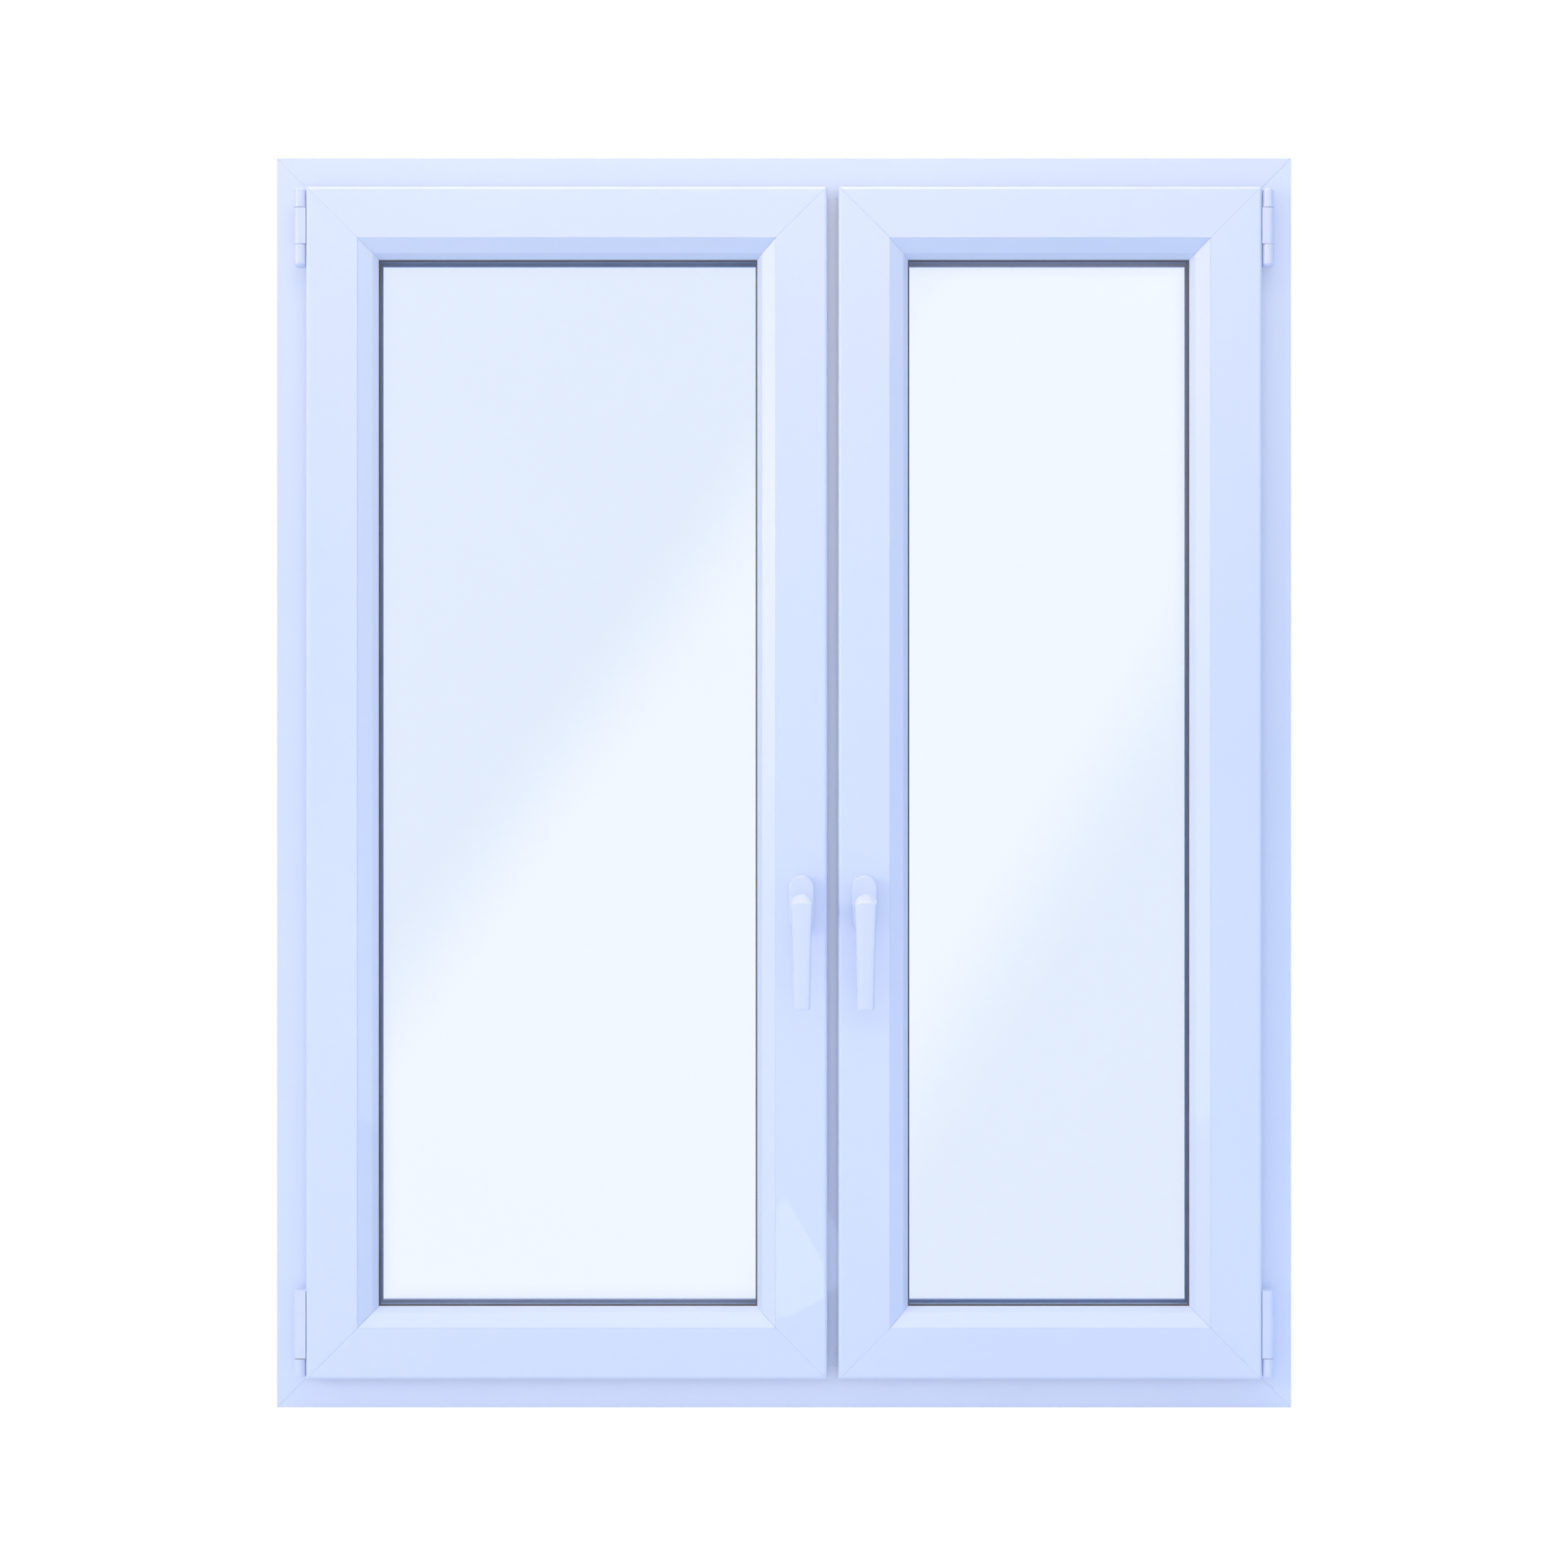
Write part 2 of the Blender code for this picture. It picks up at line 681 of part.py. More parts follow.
def make_top_leaf(finishes):
    low, high = TOP_HINGE_Z[1:3]
    return make_sash_hinge(
        "right",
        "right_top_hinge_leaf",
        (low, high),
        (low + 0.001, high - 0.003),
        PIN_BORE_R,
        (low - 0.003, high + 0.003),
        finishes,
    )


def make_stay_arm(finishes):
    """The left top knuckle with its leaf, a root that rises beside the sash, and the long arm."""
    axis, _ = hinge_axis("left")
    low, high = TOP_HINGE_Z[1:3]
    finish = finishes["steel"]
    arm = prism("left_stay_arm", [sash_knuckle_outline("left")], "Z", low, high, finish)
    leaf_x = (axis - 0.001, axis + STAY_ROOT[1])
    leaf = box("leaf", leaf_x, HINGE_LEAF_Y, (low + 0.001, high - 0.003), finish)
    neck_x = (axis - 0.0008, axis + 0.0068)
    neck_y = (HINGE_Y + 0.003, HINGE_LEAF_Y[0] + 0.0004)
    neck = box("neck", neck_x, neck_y, (low + 0.0012, high - 0.0032), finish)
    root_x = (axis + STAY_ROOT[0], axis + STAY_ROOT[1] - 0.0001)
    root_y = (HINGE_LEAF_Y[0] + 0.0002, HINGE_Y + 0.020)
    root = box("root", root_x, root_y, (low + 0.010, STAY_Z[1] - 0.0002), finish)
    bar_x = (axis + STAY_ROOT[0] + 0.0002, axis + STAY_REACH + 0.010)
    long_bar = box("long_bar", bar_x, STAY_Y, STAY_Z, finish)
    stud_y = (STAY_Y[0] + STAY_Y[1]) / 2
    stud = prism(
        "stud",
        [circle(axis + STAY_REACH, stud_y, 0.002, 12)],
        "Z",
        STAY_Z[0] - 0.0027,
        STAY_Z[0] + 0.001,
        finish,
    )
    combine(arm, "UNION", leaf, neck, root, long_bar, stud)
    return combine(arm, "DIFFERENCE", hinge_bore("left", PIN_BORE_R, (low - 0.003, high + 0.003), finish))


def make_stay_track(finishes):
    """The slotted plate on the sash's top edge that the stay's stud runs in."""
    axis, _ = hinge_axis("left")
    top = HEIGHT - SASH_INSET - SASH_BACK
    middle = (STAY_Y[0] + STAY_Y[1]) / 2
    plate = rectangle(axis + 0.315, axis + 0.425, middle - 0.0075, middle + 0.0075)
    slot = rounded([
        (axis + 0.355, middle - 0.004, 0.0039),
        (axis + 0.386, middle - 0.004, 0.0039),
        (axis + 0.386, middle + 0.004, 0.0039),
        (axis + 0.355, middle + 0.004, 0.0039),
    ])
    return prism(
        "left_stay_track", [plate, slot], "Z", top + TOUCH, top + 0.0020, finishes["steel"]
    )


# ---------------------------------------------------------------- handles and gear

def lever_outline(side):
    """Seen from the room: a round head that narrows to a tip with soft corners."""
    x = handle_x(side)
    steps = ROUND_STEPS // 2
    head = [math.pi * i / steps for i in range(steps + 1)]
    points = [
        (x + LEVER_HEAD_R * math.cos(t), HANDLE_Z + LEVER_HEAD_R * math.sin(t)) for t in head
    ]
    shoulder = HANDLE_Z - 0.032
    tip = HANDLE_Z - LEVER_LENGTH
    lower = rounded([
        (x - LEVER_TIP_HALF - 0.0005, shoulder, 0.0),
        (x - LEVER_TIP_HALF, tip, 0.004),
        (x + LEVER_TIP_HALF, tip, 0.004),
        (x + LEVER_TIP_HALF + 0.0005, shoulder, 0.0),
    ])
    return points + lower


def make_lever(side, finishes):
    finish = finishes["handle"]
    x = handle_x(side)
    lever = prism(f"{side}_handle_lever", [lever_outline(side)], "Y", *LEVER_Y, finish)
    neck_y = (LEVER_Y[1] - 0.003, ROSETTE_Y + 0.007)
    neck = prism("neck", [circle(x, HANDLE_Z, NECK_R)], "Y", *neck_y, finish)
    combine(lever, "UNION", neck)
    half = SPINDLE / 2 + TOUCH
    socket = rectangle(x - half, x + half, HANDLE_Z - half, HANDLE_Z + half)
    hole = prism("socket", [socket], "Y", -0.0905, neck_y[1] + 0.003, finish)
    return combine(lever, "DIFFERENCE", hole)


def make_spindle(side, finishes):
    x = handle_x(side)
    half = SPINDLE / 2
    outline = rectangle(x - half, x + half, HANDLE_Z - half, HANDLE_Z + half)
    return prism(f"{side}_handle_spindle", [outline], "Y", -0.090, -0.027, finishes["steel"])


def make_rosette(side, finishes):
    """The fixed plate under the lever: straight sides and round ends."""
    x = handle_x(side)
    radius = ROSETTE[0] / 2
    straight = ROSETTE[1] / 2 - radius
    steps = ROUND_STEPS // 2
    outline = []
    for end in (1, -1):
        for i in range(steps + 1):
            turn = math.pi * i / steps + (0 if end == 1 else math.pi)
            outline.append((
                x + radius * math.cos(turn),
                HANDLE_Z + end * straight + radius * math.sin(turn),
            ))
    bore = circle(x, HANDLE_Z, NECK_R + 0.0004)
    return prism(
        f"{side}_handle_rosette",
        [outline, bore],
        "Y",
        ROSETTE_Y,
        SASH_ROOM_Y - TOUCH,
        finishes["handle"],
    )


def make_gearbox(side, finishes):
    """The gear case inside the lock stile's steel chamber, bored for the spindle."""
    x0, x1, _, _ = sash_rect(side)
    edge, toward = (x1, -1) if side == "left" else (x0, 1)
    near = edge + toward * (SASH_BACK + HARDWARE_WALL + TOUCH)
    far = near + toward * 0.0165
    case = rectangle(min(near, far), max(near, far), HANDLE_Z - 0.055, HANDLE_Z + 0.060)
    bore = circle(handle_x(side), HANDLE_Z, 0.0052, 12)
    return prism(f"{side}_gearbox", [case, bore], "Y", -0.0430, -0.0280, finishes["steel"])


def make_drive_rod(side, finishes):
    """The flat rod on the back of the lock stile, with two cams that stand out of it."""
    x0, x1, _, _ = sash_rect(side)
    edge, toward = (x1, 1) if side == "left" else (x0, -1)
    back = edge - toward * (SASH_BACK - TOUCH)
    face = back + toward * ROD_THICK
    half = ROD_WIDTH / 2
    rod = box(f"{side}_drive_rod", (back, face), (ROD_Y - half, ROD_Y + half), ROD_Z, finishes["steel"])
    for z in CAM_Z:
        ends = sorted((face - toward * 0.001, face + toward * CAM_HEIGHT))
        cam = prism("cam", [circle(ROD_Y, z, CAM_R, 14)], "X", *ends, finishes["steel"])
        combine(rod, "UNION", cam)
    return rod


# ---------------------------------------------------------------- assembly

def make_hinges(side, finishes):
    make_top_bracket(side, finishes)
    make_top_pin(side, finishes)
    make_bottom_bracket(side, finishes)


def make_sash(side, finishes):
    """One sash with everything that moves with it or on it."""
    axis, _ = hinge_axis(side)
    turn = axis_empty(f"{side}_turn_axis", (axis, HINGE_Y, TILT_Z))
    sash = turn
    if side == "left":
        sash = axis_empty("left_tilt_axis", (axis, HINGE_Y, TILT_Z), turn)
        stay = axis_empty("left_stay_axis", (axis, HINGE_Y, STAY_Z[0]), turn)
        carry(turn, make_corner_pivot(finishes))
        carry(stay, make_stay_arm(finishes))
        carry(sash, make_stay_track(finishes))
    else:
        carry(sash, make_top_leaf(finishes))
    carry(sash, *make_sash_bars(side, finishes))
    carry(sash, *make_beads(side, finishes))
    carry(sash, *make_glazing(side, finishes))
    carry(sash, make_sash_gasket(side, finishes))
    carry(sash, make_bottom_cover(side, finishes))
    carry(sash, make_rosette(side, finishes))
    carry(sash, make_gearbox(side, finishes))
    handle_place = (handle_x(side), SASH_ROOM_Y, HANDLE_Z)
    carry(
        axis_empty(f"{side}_handle_axis", handle_place, sash),
        make_lever(side, finishes),
        make_spindle(side, finishes),
    )
    rod_place = (handle_x(side), ROD_Y, HANDLE_Z)
    carry(axis_empty(f"{side}_rod_axis", rod_place, sash), make_drive_rod(side, finishes))


def main():
    for old in list(bpy.data.objects):
        bpy.data.objects.remove(old)
    finishes = make_materials()
    make_frame(finishes)
    make_mullion(finishes)
    for side in ("left", "right"):
        make_frame_gasket(side, finishes)
        make_striker(side, finishes)
        make_hinges(side, finishes)
        make_sash(side, finishes)


main()
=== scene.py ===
"""The looks of the two-sash uPVC casement window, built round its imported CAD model.

Lengths are metres. Bars are drawn as sections of (inward, depth) pairs: inward is measured from the
outer edge of the rectangle that the bars run round, and depth is Y, with outdoors at +Y.
"""

import json
import math

import bmesh
import bpy
from mathutils import Matrix, Vector
from mathutils.geometry import tessellate_polygon


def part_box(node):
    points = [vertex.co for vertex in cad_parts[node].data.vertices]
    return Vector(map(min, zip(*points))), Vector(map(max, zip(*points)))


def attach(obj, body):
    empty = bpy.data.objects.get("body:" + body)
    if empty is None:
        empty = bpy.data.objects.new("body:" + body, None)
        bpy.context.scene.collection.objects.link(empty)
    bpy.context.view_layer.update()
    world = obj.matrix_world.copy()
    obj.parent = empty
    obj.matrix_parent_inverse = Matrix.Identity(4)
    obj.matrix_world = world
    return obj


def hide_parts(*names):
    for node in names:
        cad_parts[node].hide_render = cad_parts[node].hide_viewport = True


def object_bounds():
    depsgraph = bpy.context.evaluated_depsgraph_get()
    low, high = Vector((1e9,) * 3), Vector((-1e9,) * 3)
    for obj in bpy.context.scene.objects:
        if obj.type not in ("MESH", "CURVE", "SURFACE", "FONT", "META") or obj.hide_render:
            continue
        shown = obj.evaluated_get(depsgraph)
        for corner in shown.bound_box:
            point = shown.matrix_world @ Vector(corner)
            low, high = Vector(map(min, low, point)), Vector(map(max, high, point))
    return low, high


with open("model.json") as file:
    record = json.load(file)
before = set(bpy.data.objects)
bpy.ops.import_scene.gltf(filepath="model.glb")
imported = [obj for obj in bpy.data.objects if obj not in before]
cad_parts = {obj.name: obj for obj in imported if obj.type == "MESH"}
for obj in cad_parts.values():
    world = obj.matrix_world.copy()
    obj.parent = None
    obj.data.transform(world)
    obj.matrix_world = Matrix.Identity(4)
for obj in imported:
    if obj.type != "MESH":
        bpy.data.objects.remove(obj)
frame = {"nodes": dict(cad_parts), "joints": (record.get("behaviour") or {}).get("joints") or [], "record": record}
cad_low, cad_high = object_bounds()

BODIES = frame["record"]["behaviour"]["bodies"]
BODY_OF = {node: body for body, nodes in BODIES.items() for node in nodes}
JOINTS = {joint["name"]: joint for joint in frame["joints"]}
SIDES = ("left", "right", "bottom", "top")
SASHES = ("left", "right")

# Places that the CAD model gives
FRAME_RECT = (cad_low.x, cad_high.x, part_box("frame_sill")[0].z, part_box("frame_head")[1].z)
FRAME_ROOM_Y, FRAME_OUT_Y = (corner.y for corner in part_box("frame_jamb_left"))
FRAME_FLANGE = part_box("frame_jamb_left")[1].x - FRAME_RECT[0]
MULLION_LOW, MULLION_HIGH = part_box("mullion")
MULLION_X = (MULLION_LOW.x + MULLION_HIGH.x) / 2
SASH_ROOM_Y, SASH_OUT_Y = (corner.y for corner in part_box("left_sash_hinge_stile"))
GLASS_OUT_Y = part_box("left_pane_outer")[1].y
GLASS_ROOM_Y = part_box("left_pane_inner")[0].y

# The frame's section
FRAME_REBATE = 0.047
FRAME_FLANGE_Y = 0.024
MULLION_HALF = 0.0158
WALL = 0.003

# The sash's section and its bead, measured from the sash's lip edge
SASH_LIP_Y = -0.047
SASH_BACK = 0.0215
SASH_FLANGE = 0.0750
SASH_FLANGE_Y = 0.003
BEAD_LINE = 0.0588
BEAD_TILT = 0.0029
BEAD_EDGE = 0.0800
ROOM_SEAL_EDGE = 0.0820
OUT_SEAL_EDGE = 0.0777
SPACER = (0.0645, 0.0755)

# The middle of the groove in a sash's back, where the drive rod runs
GROOVE_Y = -0.033
KEEP_SPACING = 0.650

# Gaps between neighbours, from seats that look closed to parts that move
MITRE_GAP = 0.00001
JOINT = 0.00003
HAIR = 0.0001
TOUCH = 0.0003
MITRE_GROOVE = 0.0005

ARC_STEPS = 6
ROUND_STEPS = 48
PIN_STEPS = 32
SHARP_ANGLE = 35
WELD = 0.000002

# Hinges
KNUCKLE_R = 0.00675
HINGE_PLATE_Y = (-0.0432, -0.0413)
HINGE_LEAF_Y = (-0.0456, -0.0436)
BARREL_BACK_Y = -0.0478
STAY_ARM_Y = (-0.0430, -0.0330)
STAY_SLOT = (0.355, 0.386)
PIN_R = 0.0025
PIN_BORE_R = 0.0029
PIVOT_R = 0.0030
BOTTOM_PLATE = 0.0645
CUP_GAP = 0.0010
HINGE_EDGE = 0.0007
HINGE_EDGES = (HINGE_EDGE, HINGE_EDGE)

# Handles
HEAD_R = 0.0126
TIP_HALF = 0.0096
LEVER_LENGTH = 0.1175
LEVER_Y = (-0.113, -0.100)
NECK_R = 0.008
SPINDLE = 0.007
CREASE = 0.0035


# ---------------------------------------------------------------- outlines

def rounded(corners, steps=ARC_STEPS):
    """A closed outline from (a, b, radius) corners, each radius above zero drawn as an arc."""
    points = []
    for i, (a, b, radius) in enumerate(corners):
        here = Vector((a, b))
        if radius == 0:
            points.append((a, b))
            continue
        to_last = (Vector(corners[i - 1][:2]) - here).normalized()
        to_next = (Vector(corners[(i + 1) % len(corners)][:2]) - here).normalized()
        half = to_last.angle(to_next) / 2
        centre = here + (to_last + to_next).normalized() * (radius / math.sin(half))
        reach = radius / math.tan(half)
        start = here + to_last * reach - centre
        end = here + to_next * reach - centre
        for step in range(steps + 1):
            spoke = start.slerp(end, step / steps).normalized() * radius
            points.append(tuple(centre + spoke))
    return points


def rectangle(a0, a1, b0, b1):
    return [(a0, b0), (a1, b0), (a1, b1), (a0, b1)]


def circle(a, b, radius, steps=ROUND_STEPS):
    turns = [2 * math.pi * (i + 0.5) / steps for i in range(steps)]
    return [(a + radius * math.cos(t), b + radius * math.sin(t)) for t in turns]


def stadium(a, b, half_width, half_height, steps=ROUND_STEPS // 2):
    """Straight sides and round ends above and below."""
    straight = half_height - half_width
    points = []
    for end in (1, -1):
        for i in range(steps + 1):
            turn = math.pi * i / steps + (0 if end == 1 else math.pi)
            points.append((
                a + half_width * math.cos(turn),
                b + end * straight + half_width * math.sin(turn),
            ))
    return points


def inset(outline, distance):
    """The outline drawn a distance further in."""
    if distance == 0:
        return outline
    after = outline[1:] + outline[:1]
    area = sum(p[0] * q[1] - q[0] * p[1] for p, q in zip(outline, after))
    turn = 1 if area > 0 else -1
    moved = []
    for last, here, following in zip(outline[-1:] + outline[:-1], outline, after):
        edges = (Vector(here) - Vector(last), Vector(following) - Vector(here))
        inward = sum((Vector((-e.y, e.x)).normalized() * turn for e in edges), Vector((0, 0)))
        moved.append(tuple(Vector(here) + inward * (2 * distance / inward.length_squared)))
    return moved


def channel(at, depth, mouth, width, lip):
    """Points of an undercut groove in an outer edge that runs towards the room, at inward 0."""
    return [
        (0.0, at + mouth / 2, 0.0003),
        (lip, at + mouth / 2, 0.0),
        (lip, at + width / 2, 0.0),
        (depth, at + width / 2, 0.0003),
        (depth, at - width / 2, 0.0003),
        (lip, at - width / 2, 0.0),
        (lip, at - mouth / 2, 0.0),
        (0.0, at - mouth / 2, 0.0003),
    ]


# ---------------------------------------------------------------- sections

def frame_section():
    """Two undercut grooves run round the outer edge, and two fine ones along the rebate."""
    rebate = []
    for at in (-0.024, 0.002):
        rebate += [
            (FRAME_REBATE, at - 0.0015, 0.0002),
            (FRAME_REBATE - 0.0012, at - 0.0010, 0.0),
            (FRAME_REBATE - 0.0012, at + 0.0010, 0.0),
            (FRAME_REBATE, at + 0.0015, 0.0002),
        ]
    outer = rounded([
        (0.0, FRAME_ROOM_Y, 0.0004),
        (FRAME_REBATE, FRAME_ROOM_Y, 0.0006),
        *rebate,
        (FRAME_REBATE, FRAME_FLANGE_Y, 0.0),
        (FRAME_FLANGE, FRAME_FLANGE_Y, 0.0010),
        (FRAME_FLANGE, FRAME_OUT_Y, 0.0025),
        (0.0, FRAME_OUT_Y, 0.0004),
        *channel(0.020, 0.0042, 0.0050, 0.0075, 0.0012),
        (0.0, 0.0062, 0.0003),
        (0.0014, 0.0055, 0.0),
        (0.0014, -0.0055, 0.0),
        (0.0, -0.0062, 0.0003),
        *channel(-0.020, 0.0042, 0.0050, 0.0075, 0.0012),
    ])
    back = 0.0072
    web_y = -0.010
    room = rectangle(back, FRAME_REBATE - WALL, FRAME_ROOM_Y + WALL, web_y)
    steel = rectangle(back, FRAME_REBATE - WALL, web_y + WALL, FRAME_FLANGE_Y - WALL)
    out = rectangle(WALL, FRAME_FLANGE - WALL, FRAME_FLANGE_Y + WALL + 0.0013, FRAME_OUT_Y - WALL)
    return outer, [room, steel, out]


def sash_section():
    """The sash bar with the hardware groove in its back."""
    outer = rounded([
        (0.0, SASH_ROOM_Y, 0.0040),
        (0.0, SASH_LIP_Y, 0.0015),
        (SASH_BACK, SASH_LIP_Y, 0.0),
        (SASH_BACK, GROOVE_Y - 0.0062, 0.0002),
        (SASH_BACK + 0.0012, GROOVE_Y - 0.0062, 0.0),
        (SASH_BACK + 0.0012, GROOVE_Y - 0.0080, 0.0),
        (SASH_BACK + 0.0040, GROOVE_Y - 0.0080, 0.0003),
        (SASH_BACK + 0.0040, GROOVE_Y + 0.0080, 0.0003),
        (SASH_BACK + 0.0012, GROOVE_Y + 0.0080, 0.0),
        (SASH_BACK + 0.0012, GROOVE_Y + 0.0062, 0.0),
        (SASH_BACK, GROOVE_Y + 0.0062, 0.0002),
        (SASH_BACK, 0.0010, 0.0002),
        (SASH_BACK + 0.0012, 0.0018, 0.0),
        (SASH_BACK + 0.0012, 0.0058, 0.0),
        (SASH_BACK, 0.0066, 0.0002),
        (SASH_BACK, SASH_OUT_Y, 0.0015),
        (SASH_FLANGE, SASH_OUT_Y, 0.0030),
        (SASH_FLANGE, SASH_FLANGE_Y, 0.0004),
        (BEAD_LINE, SASH_FLANGE_Y, 0.0),
        (BEAD_LINE, SASH_ROOM_Y, 0.0004),
    ])
    inner = BEAD_LINE - WALL
    lip = rectangle(WALL, inner, SASH_ROOM_Y + WALL, SASH_LIP_Y - WALL)
    steel = rectangle(SASH_BACK + 0.0068, inner, SASH_LIP_Y + 0.0005, SASH_FLANGE_Y - 0.0005)
    out = rectangle(
        SASH_BACK + 0.0043, SASH_FLANGE - WALL, SASH_FLANGE_Y + WALL + 0.0003, SASH_OUT_Y - WALL
    )
    return outer, [lip, steel, out]


def bead_section():
    """A flat strip, a slope and a steeper shoulder, down to a small toe on the glass side."""
    start = BEAD_LINE + JOINT
    face_y = SASH_ROOM_Y + TOUCH
    foot_y = GLASS_ROOM_Y - WALL
    shoulder = BEAD_LINE + 0.0157
    outer = rounded([
        (start, face_y, 0.0003),
        (BEAD_LINE + 0.0050, face_y + BEAD_TILT, 0.0040),
        (shoulder, face_y + 0.0092, 0.0030),
        (BEAD_EDGE - 0.0010, foot_y - 0.0025, 0.0),
        (BEAD_EDGE, foot_y - 0.0015, 0.0004),
        (BEAD_EDGE, foot_y, 0.0003),
        (start, foot_y, 0.0),
    ])
    chamber = [
        (start + WALL, face_y + WALL),
        (start + 0.0038, face_y + WALL + 0.0020),
        (shoulder - 0.0028, face_y + 0.0114),
        (BEAD_EDGE - 0.0052, foot_y - WALL),
        (start + WALL, foot_y - WALL),
    ]
    return outer, [chamber]


# ---------------------------------------------------------------- solids

def shade(made, sharp_angle=SHARP_ANGLE):
    """Smooth shading that breaks at sharp edges and keeps flat faces flat."""
    made.data.shade_smooth()
    made.data.set_sharp_from_angle(angle=math.radians(sharp_angle))
    weighted = made.modifiers.new("even_shading", "WEIGHTED_NORMAL")
    weighted.keep_sharp = True
    return made


def link(name, data):
    made = bpy.data.objects.new(name, data)
    bpy.context.scene.collection.objects.link(made)
    return made


def finish_mesh(name, bm, finish, sharp_angle=SHARP_ANGLE):
    bmesh.ops.recalc_face_normals(bm, faces=bm.faces)
    mesh = bpy.data.meshes.new(name)
    bm.to_mesh(mesh)
    bm.free()
    mesh.materials.append(finish)
    return shade(link(name, mesh), sharp_angle)


def bridge(bm, first, last):
    for i in range(len(first)):
        j = (i + 1) % len(first)
        bm.faces.new((first[i], first[j], last[j], last[i]))


def cap(bm, rings, loops):
    """Closes one end of a solid whose section may hold chambers."""
    corners = [v for ring in rings for v in ring]
    flat = [[Vector((a, b, 0.0)) for a, b in loop] for loop in loops]
    for triangle in tessellate_polygon(flat):
        bm.faces.new([corners[i] for i in triangle])


def solid(name, stations, finish, holes=()):
    """A closed solid through (outline, place) stations, where place(a, b) gives a point.

    A hole is an outline that runs straight from the first station to the last.
    """
    bm = bmesh.new()
    rings = [[bm.verts.new(place(a, b)) for a, b in outline] for outline, place in stations]
    for first, last in zip(rings, rings[1:]):
        bridge(bm, first, last)
    ends = (stations[0], stations[-1])
    tunnels = [[[bm.verts.new(place(a, b)) for a, b in hole] for _, place in ends] for hole in holes]
    for near, far in tunnels:
        bridge(bm, near, far)
    for ring, (outline, _), side in ((rings[0], ends[0], 0), (rings[-1], ends[1], 1)):
        cap(bm, [ring] + [tunnel[side] for tunnel in tunnels], [outline, *holes])
    return finish_mesh(name, bm, finish)


def along_axis(axis, distance):
    return {
        "X": lambda a, b: (distance, a, b),
        "Y": lambda a, b: (a, distance, b),
        "Z": lambda a, b: (a, b, distance),
    }[axis]


def prism(name, outline, axis, low, high, finish, edges=(0.0, 0.0), holes=(), steps=4):
    """An outline extruded along an axis, with its two end edges rounded to the given radii."""
    stations = []
    turns = [math.pi / 2 * i / steps for i in range(steps + 1)]
    for edge, end, sign in ((edges[0], low, 1), (edges[1], high, -1)):
        arc = [
            (inset(outline, edge * (1 - math.sin(t))), end + sign * edge * (1 - math.cos(t)))
            for t in (turns if edge else turns[:1])
        ]
        stations += arc if sign == 1 else arc[::-1]
    placed = [(loop, along_axis(axis, at)) for loop, at in stations]
    return solid(name, placed, finish, holes)


def box(name, x, y, z, finish, edge=0.0003):
    outline = rounded([(a, b, edge) for a, b in rectangle(min(x), max(x), min(y), max(y))], 2)
    return prism(name, outline, "Z", *z, finish, (edge, edge), steps=2)


def bar(name, rect, side, section, finish):
    """A bar along one side of a rectangle (x0, x1, z0, z1), mitred, with a fine groove at each mitre."""
    x0, x1, z0, z1 = rect
    outer, holes = section
    length = x1 - x0 if side in ("bottom", "top") else z1 - z0

    def place(inward, y, along):
        return {
            "bottom": (x0 + along, y, z0 + inward),
            "top": (x0 + along, y, z1 - inward),
            "left": (x0 + inward, y, z0 + along),
            "right": (x1 - inward, y, z0 + along),
        }[side]

    def near(back):
        return lambda u, y: place(u, y, u + MITRE_GAP + back)

    def far(back):
        return lambda u, y: place(u, y, length - u - MITRE_GAP - back)

    slim = inset(outer, MITRE_GROOVE)
    stations = [
        (slim, near(0.0)),
        (outer, near(MITRE_GROOVE)),
        (outer, far(MITRE_GROOVE)),
        (slim, far(0.0)),
    ]
    return solid(name, stations, finish, holes)


def ring(name, rect, outline, finish):
    """A closed ring of one section round the inside of a rectangle."""
    x0, x1, z0, z1 = rect
    bm = bmesh.new()
    rows = []
    for u, y in outline:
        corners = [
            (x0 + u, y, z0 + u),
            (x1 - u, y, z0 + u),
            (x1 - u, y, z1 - u),
            (x0 + u, y, z1 - u),
        ]
        rows.append([bm.verts.new(c) for c in corners])
    for row, after in zip(rows, rows[1:] + rows[:1]):
        bridge(bm, row, after)
    return finish_mesh(name, bm, finish)


def combine(base, operation, *others):
    """Joins the others to base, or cuts them from it, and removes them."""
    base.modifiers.clear()
    for other in others:
        step = base.modifiers.new(other.name, "BOOLEAN")
        step.operation = operation
        step.solver = "EXACT"
        step.object = other
        bpy.context.view_layer.update()
        seen = base.evaluated_get(bpy.context.evaluated_depsgraph_get())
        mesh = bpy.data.meshes.new_from_object(seen)
        base.modifiers.clear()
        base.data = mesh
        bpy.data.objects.remove(other)
    bm = bmesh.new()
    bm.from_mesh(base.data)
    bmesh.ops.remove_doubles(bm, verts=bm.verts, dist=WELD)
    bmesh.ops.dissolve_degenerate(bm, edges=bm.edges, dist=WELD)
    bm.to_mesh(base.data)
    bm.free()
    base.data.name = base.name
    shade(base)


def dress(piece, body=None, replaces=()):
    """Says what a piece rides on and which CAD nodes it stands for, and hides those nodes."""
    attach(piece, body or BODY_OF[replaces[0]])
    if replaces:
        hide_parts(*replaces)
    return piece


# ---------------------------------------------------------------- materials

